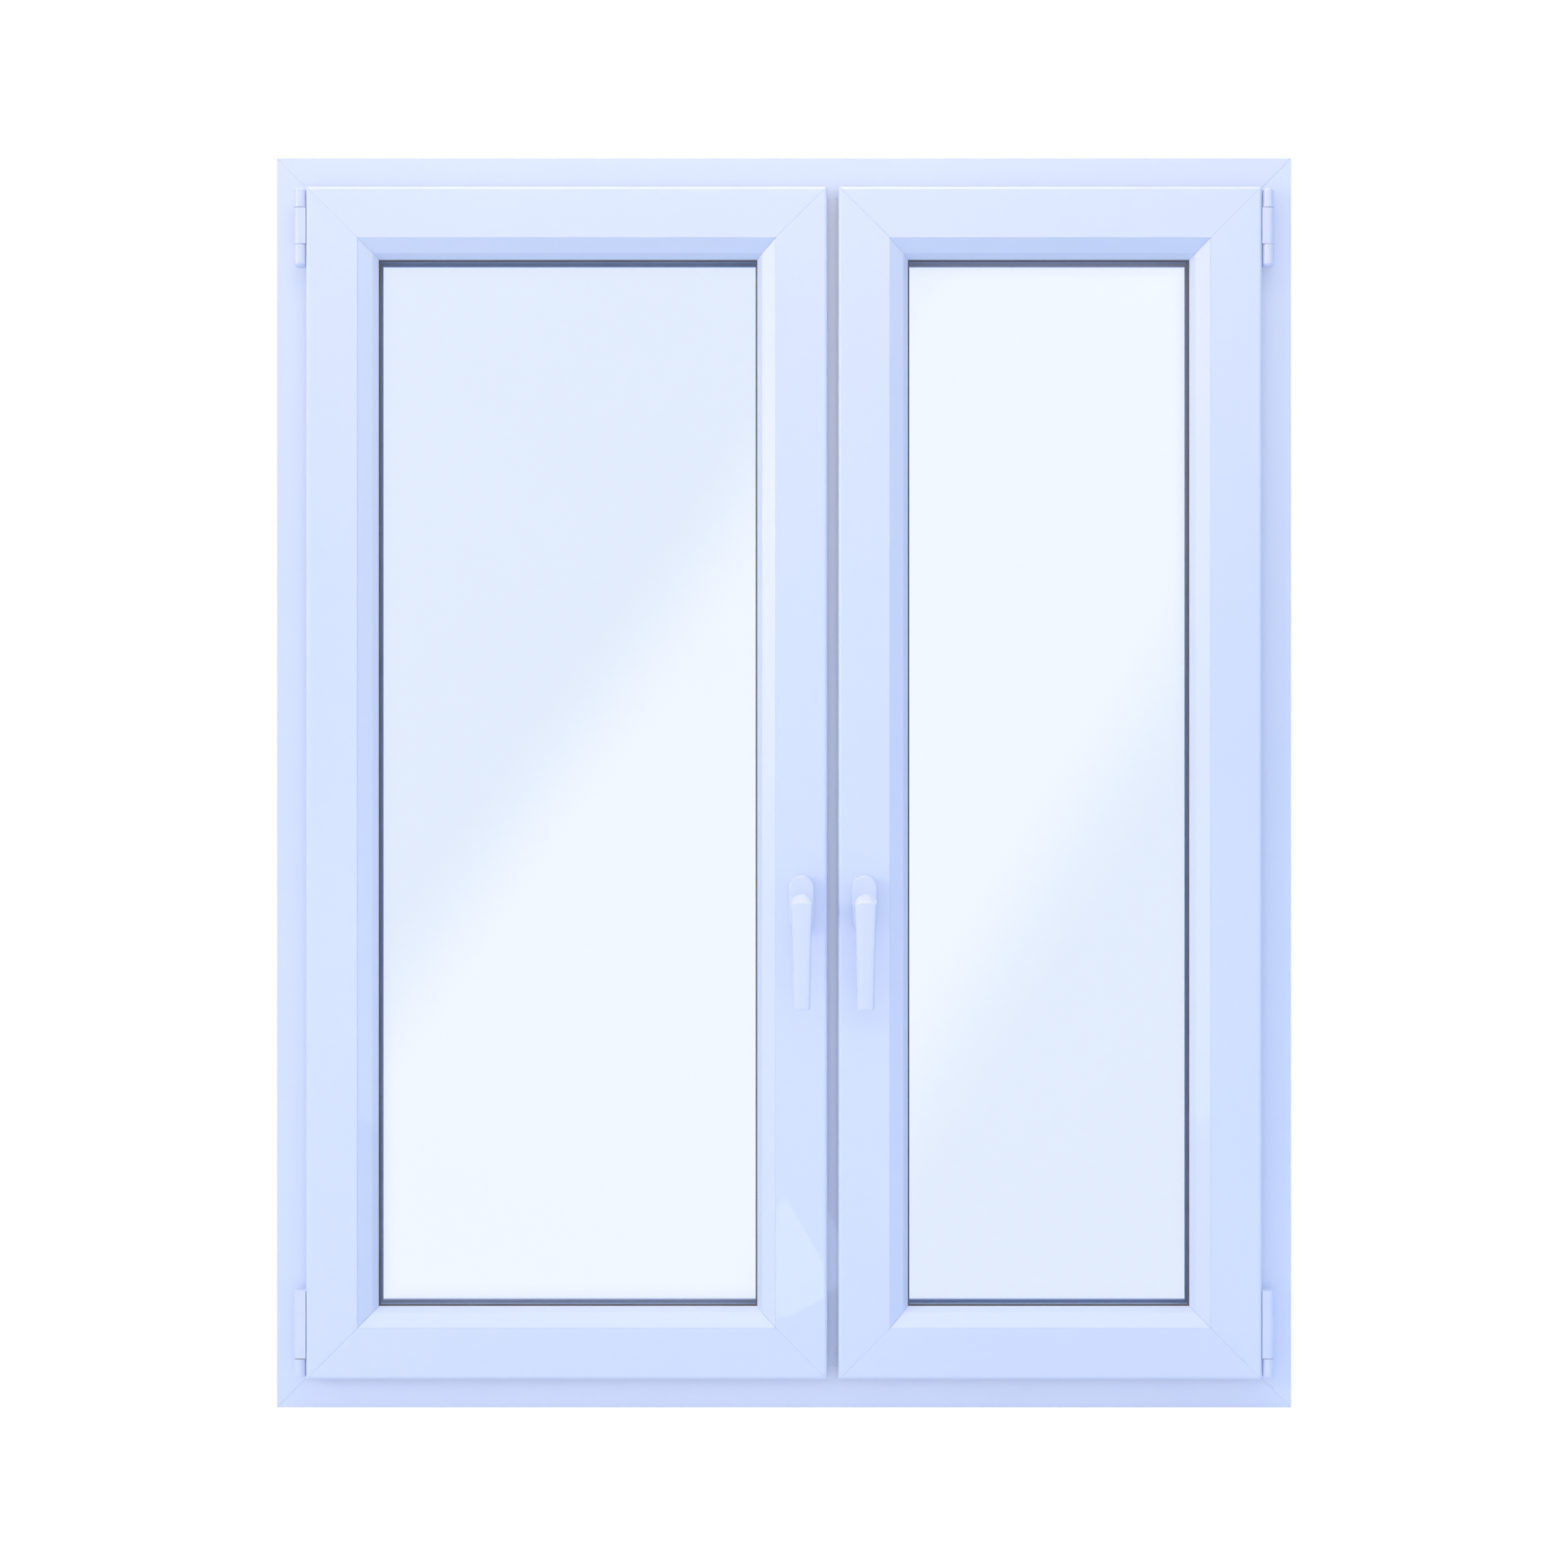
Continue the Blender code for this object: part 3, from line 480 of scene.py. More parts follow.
class Finish:
    """A material whose nodes are added one by one behind its Principled shader."""

    def __init__(self, name, roughness, metallic=0.0):
        self.material = bpy.data.materials.new(name)
        self.material.use_nodes = True
        self.nodes = self.material.node_tree.nodes
        self.links = self.material.node_tree.links
        self.shader = self.nodes["Principled BSDF"]
        self.shader.inputs["Roughness"].default_value = roughness
        self.shader.inputs["Metallic"].default_value = metallic
        self.place = self.nodes.new("ShaderNodeTexCoord").outputs["Object"]

    def node(self, kind, inputs=None, **settings):
        made = self.nodes.new(kind)
        for key, value in settings.items():
            setattr(made, key, value)
        for key, value in (inputs or {}).items():
            if isinstance(value, bpy.types.NodeSocket):
                self.links.new(value, made.inputs[key])
            else:
                made.inputs[key].default_value = value
        return made

    def noise(self, scale, detail=2.0, stretch=(1, 1, 1), roughness=0.5):
        place = self.place
        if stretch != (1, 1, 1):
            place = self.node("ShaderNodeMapping", {"Vector": place, "Scale": stretch}).outputs[0]
        found = self.node(
            "ShaderNodeTexNoise",
            {"Vector": place, "Scale": scale, "Detail": detail, "Roughness": roughness},
        )
        return found.outputs["Fac"]

    def span(self, value, low, high, start=0.3, end=0.7):
        """value from start to end, turned into low to high."""
        return self.node(
            "ShaderNodeMapRange",
            {"Value": value, "From Min": start, "From Max": end, "To Min": low, "To Max": high},
        ).outputs["Result"]

    def tones(self, value, low, high, start=0.3, end=0.7):
        """A colour between two tones."""
        ramp = self.node("ShaderNodeValToRGB", {"Fac": value})
        ramp.color_ramp.elements[0].position = start
        ramp.color_ramp.elements[0].color = (*low, 1)
        ramp.color_ramp.elements[1].position = end
        ramp.color_ramp.elements[1].color = (*high, 1)
        return ramp.outputs["Color"]

    def bump(self, height, strength, distance, below=None):
        inputs = {"Height": height, "Strength": strength, "Distance": distance}
        if below is not None:
            inputs["Normal"] = below
        return self.node("ShaderNodeBump", inputs).outputs["Normal"]

    def set(self, **sockets):
        for key, value in sockets.items():
            self.links.new(value, self.shader.inputs[key.replace("_", " ")])
        return self.material


def pvc(name, along):
    """Extruded uPVC: die lines along the bar, a faint orange peel and slightly uneven gloss."""
    finish = Finish(name, 0.36)
    across = {"X": (0.4, 60, 60), "Z": (60, 60, 0.4)}[along]
    lines = finish.noise(9, 3, across)
    tone = finish.noise(2.2, 3)
    peel = finish.noise(420, 2)
    finish.shader.inputs["Specular IOR Level"].default_value = 0.45
    return finish.set(
        Base_Color=finish.tones(tone, PVC_DARK, PVC_LIGHT),
        Roughness=finish.span(lines, 0.31, 0.41),
        Normal=finish.bump(lines, 0.10, 0.0002, finish.bump(peel, 0.05, 0.0001)),
    )


def moulded(name, dark, light, roughness, grain):
    """A moulded or powder-coated surface: fine orange peel, with a soft coat over it."""
    finish = Finish(name, roughness)
    peel = finish.noise(grain, 1)
    tone = finish.noise(14, 3)
    finish.shader.inputs["Coat Weight"].default_value = 0.25
    finish.shader.inputs["Coat Roughness"].default_value = 0.22
    return finish.set(
        Base_Color=finish.tones(tone, dark, light),
        Roughness=finish.span(finish.noise(30, 3), roughness - 0.02, roughness + 0.03),
        Normal=finish.bump(peel, 0.04, 0.0001),
    )


def rubber(name, dark, light):
    finish = Finish(name, 0.6)
    bloom = finish.noise(35, 4)
    return finish.set(
        Base_Color=finish.tones(bloom, dark, light),
        Roughness=finish.span(bloom, 0.52, 0.70),
        Normal=finish.bump(finish.noise(900, 2), 0.25, 0.0001),
    )


def steel():
    """Zinc-plated steel with a faint spangle and rolling marks."""
    finish = Finish("zinc_steel", 0.34, 1.0)
    spangle = finish.node(
        "ShaderNodeTexVoronoi", {"Vector": finish.place, "Scale": 240.0}
    ).outputs["Color"]
    patch = finish.node("ShaderNodeSeparateColor", {"Color": spangle}).outputs["Red"]
    rolled = finish.noise(40, 4, (30, 30, 1))
    return finish.set(
        Base_Color=finish.tones(patch, (0.50, 0.52, 0.56), (0.66, 0.68, 0.71), 0.0, 1.0),
        Roughness=finish.span(patch, 0.27, 0.42, 0.0, 1.0),
        Normal=finish.bump(rolled, 0.15, 0.0001),
    )


def spacer():
    """A warm-edge spacer bar, with a row of pin holes to its drying beads."""
    finish = Finish("spacer_bar", 0.45)
    holes = finish.node(
        "ShaderNodeTexVoronoi", {"Vector": finish.place, "Scale": 330.0, "Randomness": 0.0}
    ).outputs["Distance"]
    return finish.set(
        Base_Color=finish.tones(holes, (0.10, 0.13, 0.19), (0.30, 0.38, 0.58), 0.16, 0.24),
        Roughness=finish.span(finish.noise(80, 3), 0.38, 0.55),
        Normal=finish.bump(finish.span(holes, 0.0, 1.0, 0.16, 0.24), 0.4, 0.0003),
    )


def glass():
    """Clear float glass with a faint blue-green cast. It mirrors more at a glancing angle."""
    finish = Finish("clear_glass", 0.0)
    facing = finish.node("ShaderNodeLayerWeight", {"Blend": 0.5}).outputs["Facing"]
    glancing = finish.node("ShaderNodeMath", {0: facing, 1: 5.0}, operation="POWER").outputs[0]
    mirrored = finish.span(glancing, GLASS_MIRROR, 1.0, 0.0, 1.0)
    cast = finish.tones(finish.noise(1.6, 2), GLASS_CAST, tuple(c + 0.003 for c in GLASS_CAST))
    smear = finish.span(finish.noise(12, 4), 0.0, 0.012)
    clear = finish.node("ShaderNodeBsdfTransparent", {"Color": cast}).outputs[0]
    mirror = finish.node("ShaderNodeBsdfGlossy", {"Roughness": smear}).outputs[0]
    mixed = finish.node("ShaderNodeMixShader", {0: mirrored, 1: clear, 2: mirror}).outputs[0]
    finish.links.new(mixed, finish.nodes["Material Output"].inputs["Surface"])
    finish.nodes.remove(finish.shader)
    return finish.material


PVC_DARK = (0.592, 0.692, 0.935)
PVC_LIGHT = (0.614, 0.710, 0.945)
GLASS_CAST = (0.948, 0.964, 0.988)
GLASS_MIRROR = 0.042

PVC_ALONG = {"X": pvc("white_pvc_along_x", "X"), "Z": pvc("white_pvc_along_z", "Z")}
HINGE_WHITE = moulded("hinge_white", (0.586, 0.672, 0.925), (0.598, 0.684, 0.93), 0.32, 500)
HANDLE_WHITE = moulded("handle_white", (0.604, 0.694, 0.93), (0.616, 0.706, 0.935), 0.30, 500)
BLACK_RUBBER = rubber("black_rubber", (0.080, 0.085, 0.105), (0.105, 0.112, 0.140))
GREY_RUBBER = rubber("grey_rubber", (0.26, 0.34, 0.52), (0.30, 0.38, 0.58))
STEEL = steel()
SPACER_BAR = spacer()
GLASS = glass()


def run_of(side):
    """The PVC whose die lines run along a bar on this side."""
    return PVC_ALONG["X" if side in ("bottom", "top") else "Z"]


# ---------------------------------------------------------------- outer frame

FRAME_NAMES = {
    "left": "frame_jamb_left",
    "right": "frame_jamb_right",
    "bottom": "frame_sill",
    "top": "frame_head",
}


def opening_rect(side):
    """The rectangle that one light's sections are measured from, as if the frame went all round it."""
    x0, x1, z0, z1 = FRAME_RECT
    past_mullion = FRAME_REBATE - MULLION_HALF
    if side == "left":
        return (x0, MULLION_X + past_mullion, z0, z1)
    return (MULLION_X - past_mullion, x1, z0, z1)


def make_frame():
    for side in SIDES:
        node = FRAME_NAMES[side]
        piece = bar(f"{node}_detailed", FRAME_RECT, side, frame_section(), run_of(side))
        dress(piece, replaces=(node,))


def make_mullion():
    """A T section between head and sill. Its flange stops at theirs, and its stem runs on."""
    flange = (MULLION_HIGH.x - MULLION_LOW.x) / 2
    outer = rounded([
        (MULLION_X - MULLION_HALF, FRAME_ROOM_Y, 0.0025),
        (MULLION_X + MULLION_HALF, FRAME_ROOM_Y, 0.0025),
        (MULLION_X + MULLION_HALF, FRAME_FLANGE_Y, 0.0),
        (MULLION_X + flange, FRAME_FLANGE_Y, 0.0010),
        (MULLION_X + flange, FRAME_OUT_Y, 0.0025),
        (MULLION_X - flange, FRAME_OUT_Y, 0.0025),
        (MULLION_X - flange, FRAME_FLANGE_Y, 0.0010),
        (MULLION_X - MULLION_HALF, FRAME_FLANGE_Y, 0.0),
    ])
    stem = MULLION_HALF - WALL
    steel_core = rectangle(
        MULLION_X - stem, MULLION_X + stem, FRAME_ROOM_Y + WALL, FRAME_FLANGE_Y - WALL
    )
    half = flange - WALL
    out = rectangle(
        MULLION_X - half, MULLION_X + half, FRAME_FLANGE_Y + WALL + 0.0002, FRAME_OUT_Y - WALL
    )
    low, high = MULLION_LOW.z - TOUCH * 0.8, MULLION_HIGH.z + TOUCH * 0.8
    mullion = prism(
        "mullion_detailed", outer, "Z", low, high, PVC_ALONG["Z"], holes=(steel_core, out)
    )
    notch_y = (FRAME_FLANGE_Y - TOUCH, FRAME_OUT_Y + 0.002)
    notch_x = (MULLION_X - 0.05, MULLION_X + 0.05)
    reach = FRAME_FLANGE + TOUCH
    for word, z in (
        ("lower", (low - 0.002, FRAME_RECT[2] + reach)),
        ("upper", (FRAME_RECT[3] - reach, high + 0.002)),
    ):
        combine(mullion, "DIFFERENCE", box(f"{word}_notch", notch_x, notch_y, z, PVC_ALONG["Z"]))
    dress(mullion, replaces=("mullion",))


def make_frame_gasket(side):
    """A seal on the frame's flange: a foot, a hollow bulb's outline and a soft crest."""
    section = rounded([
        (0.0610, FRAME_FLANGE_Y - HAIR, 0.0),
        (0.0614, SASH_OUT_Y + 0.0016, 0.0006),
        (0.0622, SASH_OUT_Y + TOUCH, 0.0007),
        (0.0668, SASH_OUT_Y + TOUCH, 0.0007),
        (0.0674, SASH_OUT_Y + 0.0016, 0.0006),
        (0.0675, FRAME_FLANGE_Y - HAIR, 0.0),
    ], 4)
    node = f"frame_gasket_{side}"
    piece = ring(f"{node}_detailed", opening_rect(side), section, BLACK_RUBBER)
    dress(piece, replaces=(node,))


def make_drain_caps():
    """Small hoods over the drainage slots in the outdoor face of the sill."""
    x0, x1, z0, _ = FRAME_RECT
    z = z0 + FRAME_FLANGE * 0.42
    for i, share in enumerate((0.14, 0.40, 0.66, 0.88)):
        x = x0 + (x1 - x0) * share
        outline = rounded([
            (FRAME_OUT_Y + HAIR, z - 0.0060, 0.0),
            (FRAME_OUT_Y + 0.0016, z - 0.0060, 0.0005),
            (FRAME_OUT_Y + 0.0030, z - 0.0035, 0.0012),
            (FRAME_OUT_Y + 0.0022, z + 0.0055, 0.0010),
            (FRAME_OUT_Y + HAIR, z + 0.0065, 0.0),
        ])
        ends = (x - 0.021, x + 0.021)
        hood = prism(f"drain_cap_{i + 1}", outline, "X", *ends, HINGE_WHITE, (0.0003, 0.0003))
        slot = [(x + (a - x) * 14, b) for a, b in stadium(x, z - 0.0040, 0.0010, 0.0011)]
        cut = prism("slot", slot, "Y", FRAME_OUT_Y + 0.0008, FRAME_OUT_Y + 0.006, HINGE_WHITE)
        combine(hood, "DIFFERENCE", cut)
        dress(hood, body="frame")


# ---------------------------------------------------------------- sashes

BAR_WORDS = {
    "left": {"left": "hinge_stile", "right": "lock_stile", "bottom": "bottom_rail", "top": "top_rail"},
    "right": {"left": "lock_stile", "right": "hinge_stile", "bottom": "bottom_rail", "top": "top_rail"},
}


def sash_rect(side):
    bars = {edge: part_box(f"{side}_sash_{word}") for edge, word in BAR_WORDS[side].items()}
    return (bars["left"][0].x, bars["right"][1].x, bars["bottom"][0].z, bars["top"][1].z)


def handle_place(side):
    """The middle of the handle's spindle: its X and Z."""
    low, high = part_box(f"{side}_handle_spindle")
    return (low.x + high.x) / 2, (low.z + high.z) / 2


def make_sash_bars(side):
    x, z = handle_place(side)
    for edge in SIDES:
        node = f"{side}_sash_{BAR_WORDS[side][edge]}"
        piece = bar(f"{node}_detailed", sash_rect(side), edge, sash_section(), run_of(edge))
        if node.endswith("lock_stile"):
            ends = (SASH_ROOM_Y - 0.002, SASH_LIP_Y + 0.004)
            hole = prism("spindle_hole", circle(x, z, 0.0065), "Y", *ends, PVC_ALONG["Z"])
            combine(piece, "DIFFERENCE", hole)
        dress(piece, replaces=(node,))


def make_beads(side):
    for edge in SIDES:
        node = f"{side}_bead_{edge}"
        piece = bar(f"{node}_detailed", sash_rect(side), edge, bead_section(), run_of(edge))
        dress(piece, replaces=(node,))


def make_seals(side):
    """The black lips that hold the glass from both sides, and the seal behind the sash lip."""
    rect = sash_rect(side)
    room_foot = GLASS_ROOM_Y - WALL + HAIR
    room_y = GLASS_ROOM_Y - HAIR
    room_lip = rounded([
        (BEAD_EDGE - 0.0055, room_foot, 0.0),
        (BEAD_EDGE - 0.0004, room_foot, 0.0002),
        (ROOM_SEAL_EDGE, room_y - 0.0016, 0.0004),
        (ROOM_SEAL_EDGE - 0.0004, room_y, 0.0003),
        (BEAD_EDGE - 0.0055, room_y, 0.0),
    ], 3)
    out_foot = SASH_FLANGE_Y - HAIR
    out_y = GLASS_OUT_Y + HAIR
    out_lip = rounded([
        (SASH_FLANGE - 0.0050, out_foot, 0.0),
        (SASH_FLANGE - 0.0003, out_foot, 0.0002),
        (OUT_SEAL_EDGE, out_y + 0.0016, 0.0004),
        (OUT_SEAL_EDGE - 0.0004, out_y, 0.0003),
        (SASH_FLANGE - 0.0050, out_y, 0.0),
    ], 3)
    lip_seal = rounded([
        (0.0030, SASH_LIP_Y + HAIR, 0.0),
        (0.0072, SASH_LIP_Y + HAIR, 0.0),
        (0.0066, SASH_LIP_Y + 0.0028, 0.0008),
        (0.0036, SASH_LIP_Y + 0.0028, 0.0008),
    ], 4)
    body = f"{side}_sash"
    dress(ring(f"{side}_room_glass_seal", rect, room_lip, BLACK_RUBBER), body)
    dress(ring(f"{side}_outdoor_glass_seal", rect, out_lip, GREY_RUBBER), body)
    seal = ring(f"{side}_sash_gasket_detailed", rect, lip_seal, BLACK_RUBBER)
    axis, toward = hinge_axis(side)
    for top in (False, True):
        low, high = sash_knuckle_z(side, top)
        x = (axis + toward * 0.008, axis + toward * 0.020)
        y = (SASH_LIP_Y + 0.0010, SASH_LIP_Y + 0.004)
        combine(seal, "DIFFERENCE", box("leaf_cut", x, y, (low - 0.002, high + 0.002), BLACK_RUBBER))
    dress(seal, replaces=(f"{side}_sash_gasket",))


def make_glazing(side):
    """Three panes, and two spacer frames between them."""
    rect = sash_rect(side)
    for word in ("outer", "middle", "inner"):
        carry_over(f"{side}_pane_{word}", GLASS)
    for word in ("outer", "inner"):
        low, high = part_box(f"{side}_spacer_{word}")
        outline = rounded([
            (SPACER[0], low.y, 0.0004),
            (SPACER[0], high.y, 0.0004),
            (SPACER[1] - 0.0006, high.y, 0.0006),
            (SPACER[1] - 0.0006, high.y - 0.0024, 0.0002),
            (SPACER[1], high.y - 0.0030, 0.0003),
            (SPACER[1], low.y + 0.0030, 0.0003),
            (SPACER[1] - 0.0006, low.y + 0.0024, 0.0002),
            (SPACER[1] - 0.0006, low.y, 0.0006),
        ], 3)
        node = f"{side}_spacer_{word}"
        piece = ring(f"{node}_detailed", rect, outline, SPACER_BAR)
        dress(piece, replaces=(node,))


def carry_over(node, finish):
    """A CAD node that keeps its shape, with its finish and softened edges."""
    piece = frame["nodes"][node]
    piece.data.materials.clear()
    piece.data.materials.append(finish)
    bevel = piece.modifiers.new("soft_edges", "BEVEL")
    bevel.width = 0.0004
    bevel.segments = 2
    bevel.limit_method = "ANGLE"
    bevel.angle_limit = math.radians(50)


# ---------------------------------------------------------------- hinges

def hinge_axis(side):
    """The X of the side's hinge axis, and the direction from it towards the sash."""
    return JOINTS[f"{side}_turn"]["pos_m"][0], 1 if side == "left" else -1


HINGE_Y = JOINTS["left_turn"]["pos_m"][1]
KNUCKLE_REACH = sash_rect("left")[0] - hinge_axis("left")[0] - TOUCH


def sash_knuckle_z(side, top):
    if top:
        low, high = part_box("right_top_hinge_leaf")
    else:
        low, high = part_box(f"{side}_bottom_hinge_cover")
    return low.z, high.z


def hinge_outline(side, corners):
    """An outline drawn from the hinge axis: (towards the sash, towards outdoors)."""
    axis, toward = hinge_axis(side)
    return [(axis + toward * a, HINGE_Y + b) for a, b in corners]


def knuckle_outline(side):
    """The frame's knuckle: round to the room, with a neck back to its plate."""
    neck = HINGE_PLATE_Y[0] - HINGE_Y + 0.0004
    half = KNUCKLE_R * 0.74
    start = math.asin(half / KNUCKLE_R)
    sweep = 2 * (math.pi - start)
    steps = ROUND_STEPS - 8
    arc = [start + math.pi / 2 + sweep * i / steps for i in range(steps + 1)]
    corners = [(KNUCKLE_R * math.cos(t), KNUCKLE_R * math.sin(t)) for t in arc]
    return hinge_outline(side, corners + [(half, neck), (-half, neck)])


def sash_knuckle_outline(side):
    """The sash's knuckle: round on its outer side, square where it reaches the sash."""
    half = KNUCKLE_R - 0.0006
    steps = ROUND_STEPS // 2
    arc = [math.pi / 2 + math.pi * i / steps for i in range(steps + 1)]
    corners = [(KNUCKLE_R * math.cos(t), half * math.sin(t)) for t in arc]
    return hinge_outline(side, corners + [(KNUCKLE_REACH, -half), (KNUCKLE_REACH, half)])


def frame_plate(side, name, z):
    axis, toward = hinge_axis(side)
    x = (axis - toward * KNUCKLE_R, axis + toward * 0.0165)
    return box(name, x, HINGE_PLATE_Y, z, HINGE_WHITE)


def bore(side, radius, z):
    axis, _ = hinge_axis(side)
    return prism("bore", circle(axis, HINGE_Y, radius, PIN_STEPS), "Z", *z, HINGE_WHITE)


def knuckle(side, name, z):
    return prism(name, knuckle_outline(side), "Z", *z, HINGE_WHITE, HINGE_EDGES)


def make_top_bracket(side):
    """The frame's half of the top hinge: a plate with a knuckle at each end."""
    node = f"{side}_top_hinge_bracket"
    low, high = (corner.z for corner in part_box(node))
    middle_low, middle_high = sash_knuckle_z(side, True)
    gap = 0.0006
    bracket = frame_plate(side, f"{node}_detailed", (low, high))
    lower = knuckle(side, "lower", (low, middle_low - gap))
    upper = knuckle(side, "upper", (middle_high + gap, high))
    combine(bracket, "UNION", lower, upper)
    combine(bracket, "DIFFERENCE", bore(side, PIN_BORE_R, (low - 0.005, high + 0.005)))
    dress(bracket, replaces=(node,))


def make_top_pin(side):
    """A pin that ends flush with the knuckles, and a low domed cap over each end of it."""
    node = f"{side}_top_hinge_pin"
    axis, _ = hinge_axis(side)
    low, high = (corner.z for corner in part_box(f"{side}_top_hinge_bracket"))
    outline = circle(axis, HINGE_Y, PIN_R, PIN_STEPS)
    pin = prism(f"{node}_detailed", outline, "Z", low, high, STEEL)
    dress(pin, replaces=(node,))
    disc = circle(axis, HINGE_Y, KNUCKLE_R - HINGE_EDGE - 0.0002)
    reach = 0.0013
    for word, z, edges in (
        ("lower", (low - reach, low - 0.00005), (0.0009, 0.0)),
        ("upper", (high + 0.00005, high + reach), (0.0, 0.0009)),
    ):
        cover = prism(f"{side}_top_hinge_{word}_cap", disc, "Z", *z, HINGE_WHITE, edges)
        dress(cover, "frame")


def make_bottom_bracket(side):
    """The frame's half of the bottom hinge. The right one carries a fixed pivot pin."""
    node = f"{side}_bottom_hinge_bracket"
    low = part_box(node)[0].z
    cover_low = sash_knuckle_z(side, False)[0]
    cup_high = cover_low - CUP_GAP
    bracket = frame_plate(side, f"{node}_detailed", (low, low + BOTTOM_PLATE))
    combine(bracket, "UNION", knuckle(side, "cup", (low, cup_high)))
    if side == "right":
        combine(bracket, "UNION", bore(side, PIVOT_R, (cup_high - 0.004, cover_low + 0.009)))
    else:
        combine(bracket, "DIFFERENCE", bore(side, PIVOT_R + 0.0004, (low + 0.0055, cup_high + 0.004)))
    dress(bracket, replaces=(node,))


def make_corner_pivot():
    """The pin that turns in the left bottom cup, with the collar that the sash tips on."""
    node = "left_corner_pivot"
    axis, _ = hinge_axis("left")
    low, high = (corner.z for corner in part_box(node))
    cover_low = sash_knuckle_z("left", False)[0]
    cup_high = cover_low - CUP_GAP
    outline = circle(axis, HINGE_Y, PIVOT_R, PIN_STEPS)
    pin = prism(f"{node}_detailed", outline, "Z", low, high, STEEL, (0.0006, 0.0008))
    collar_z = (cup_high + TOUCH, cover_low - 0.00045)
    outline = circle(axis, HINGE_Y, PIVOT_R + 0.0016, PIN_STEPS)
    combine(pin, "UNION", prism("collar", outline, "Z", *collar_z, STEEL))
    dress(pin, replaces=(node,))


def sash_leaf(side, z, finish):
    """A leaf from the knuckle, behind the sash lip, and its foot on the back of the sash."""
    axis, toward = hinge_axis(side)
    back = sash_rect("left")[0] + SASH_BACK - hinge_axis("left")[0] - TOUCH
    leaf = box("leaf", (axis - toward * 0.001, axis + toward * back), HINGE_LEAF_Y, z, finish)
    neck_y = (HINGE_Y + 0.003, HINGE_LEAF_Y[0] + 0.0006)
    neck = box("neck", (axis - toward * 0.0008, axis + toward * 0.0068), neck_y, z, finish)
    foot_x = (axis + toward * (back - 0.0024), axis + toward * (back - 0.00002))
    foot = box("foot", foot_x, (HINGE_LEAF_Y[0] + 0.0003, -0.020), z, finish)
    return [leaf, neck, foot]


def make_sash_hinge(side, node, leaf_z, bore_r, bore_z):
    """A knuckle on the sash with its leaf, bored for its pin."""
    z = [corner.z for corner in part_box(node)]
    outline = sash_knuckle_outline(side)
    made = prism(f"{node}_detailed", outline, "Z", *z, HINGE_WHITE, HINGE_EDGES)
    combine(made, "UNION", *sash_leaf(side, leaf_z, HINGE_WHITE))
    combine(made, "DIFFERENCE", bore(side, bore_r, bore_z))
    dress(made, replaces=(node,))


def make_bottom_cover(side):
    low, high = sash_knuckle_z(side, False)
    radius = 0.0052 if side == "left" else PIVOT_R + 0.0004
    node = f"{side}_bottom_hinge_cover"
    make_sash_hinge(side, node, (low + 0.004, high - 0.004), radius, (low - 0.003, low + 0.0125))


def make_top_leaf():
    low, high = sash_knuckle_z("right", True)
    leaf_z = (low + 0.001, high - 0.003)
    bore_z = (low - 0.003, high + 0.003)
    make_sash_hinge("right", "right_top_hinge_leaf", leaf_z, PIN_BORE_R, bore_z)


def make_stay_arm():
    """The left top knuckle with its leaf, a root that rises beside the sash, and the long arm."""
    node = "left_stay_arm"
    axis, _ = hinge_axis("left")
    low, high = sash_knuckle_z("left", True)
    arm_end, arm_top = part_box(node)[1].x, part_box(node)[1].z
    arm_z = (arm_top - 0.003, arm_top)
    root = (0.01875, 0.02375)
    finish = STEEL
    outline = rounded([
        (axis + root[0] + 0.0002, STAY_ARM_Y[0], 0.0003),
        (arm_end, STAY_ARM_Y[0], 0.0045),
        (arm_end, STAY_ARM_Y[1], 0.0045),
        (axis + root[0] + 0.0002, STAY_ARM_Y[1], 0.0003),
    ])
    arm = prism(f"{node}_detailed", outline, "Z", *arm_z, finish, (0.0004, 0.0004))
    neck_y = (HINGE_Y + 0.003, HINGE_LEAF_Y[0] + 0.0006)
    leaf_x = (axis - 0.001, axis + root[1])
    root_x = (axis + root[0], axis + root[1] - 0.0001)
    root_y = (HINGE_LEAF_Y[0] + 0.0002, HINGE_Y + 0.020)
    stud_y = (STAY_ARM_Y[0] + STAY_ARM_Y[1]) / 2
    stud = circle(arm_end - 0.010, stud_y, 0.002, 24)
    combine(
        arm,
        "UNION",
        box("leaf", leaf_x, HINGE_LEAF_Y, (low + 0.001, high - 0.003), finish),
        box("neck", (axis - 0.0008, axis + 0.0068), neck_y, (low + 0.0012, high - 0.0032), finish),
        box("root", root_x, root_y, (low + 0.010, arm_top - 0.0002), finish),
        prism("stud", stud, "Z", arm_z[0] - 0.0027, arm_z[0] + 0.001, finish),
    )
    outline = sash_knuckle_outline("left")
    combine(arm, "UNION", prism("barrel", outline, "Z", low, high, HINGE_WHITE, HINGE_EDGES))
    combine(arm, "DIFFERENCE", bore("left", PIN_BORE_R, (low - 0.003, high + 0.003)))
    paint_barrel(arm, axis)
    dress(arm, replaces=(node,))


def paint_barrel(arm, axis):
    """The stay's knuckle is covered in white, and the rest of it is bare plated steel."""
    arm.data.materials.clear()
    arm.data.materials.append(STEEL)
    arm.data.materials.append(HINGE_WHITE)
    for face in arm.data.polygons:
        reach = abs(face.center.x - axis)
        white = reach < KNUCKLE_REACH + HAIR and face.center.y < BARREL_BACK_Y
        face.material_index = int(white)


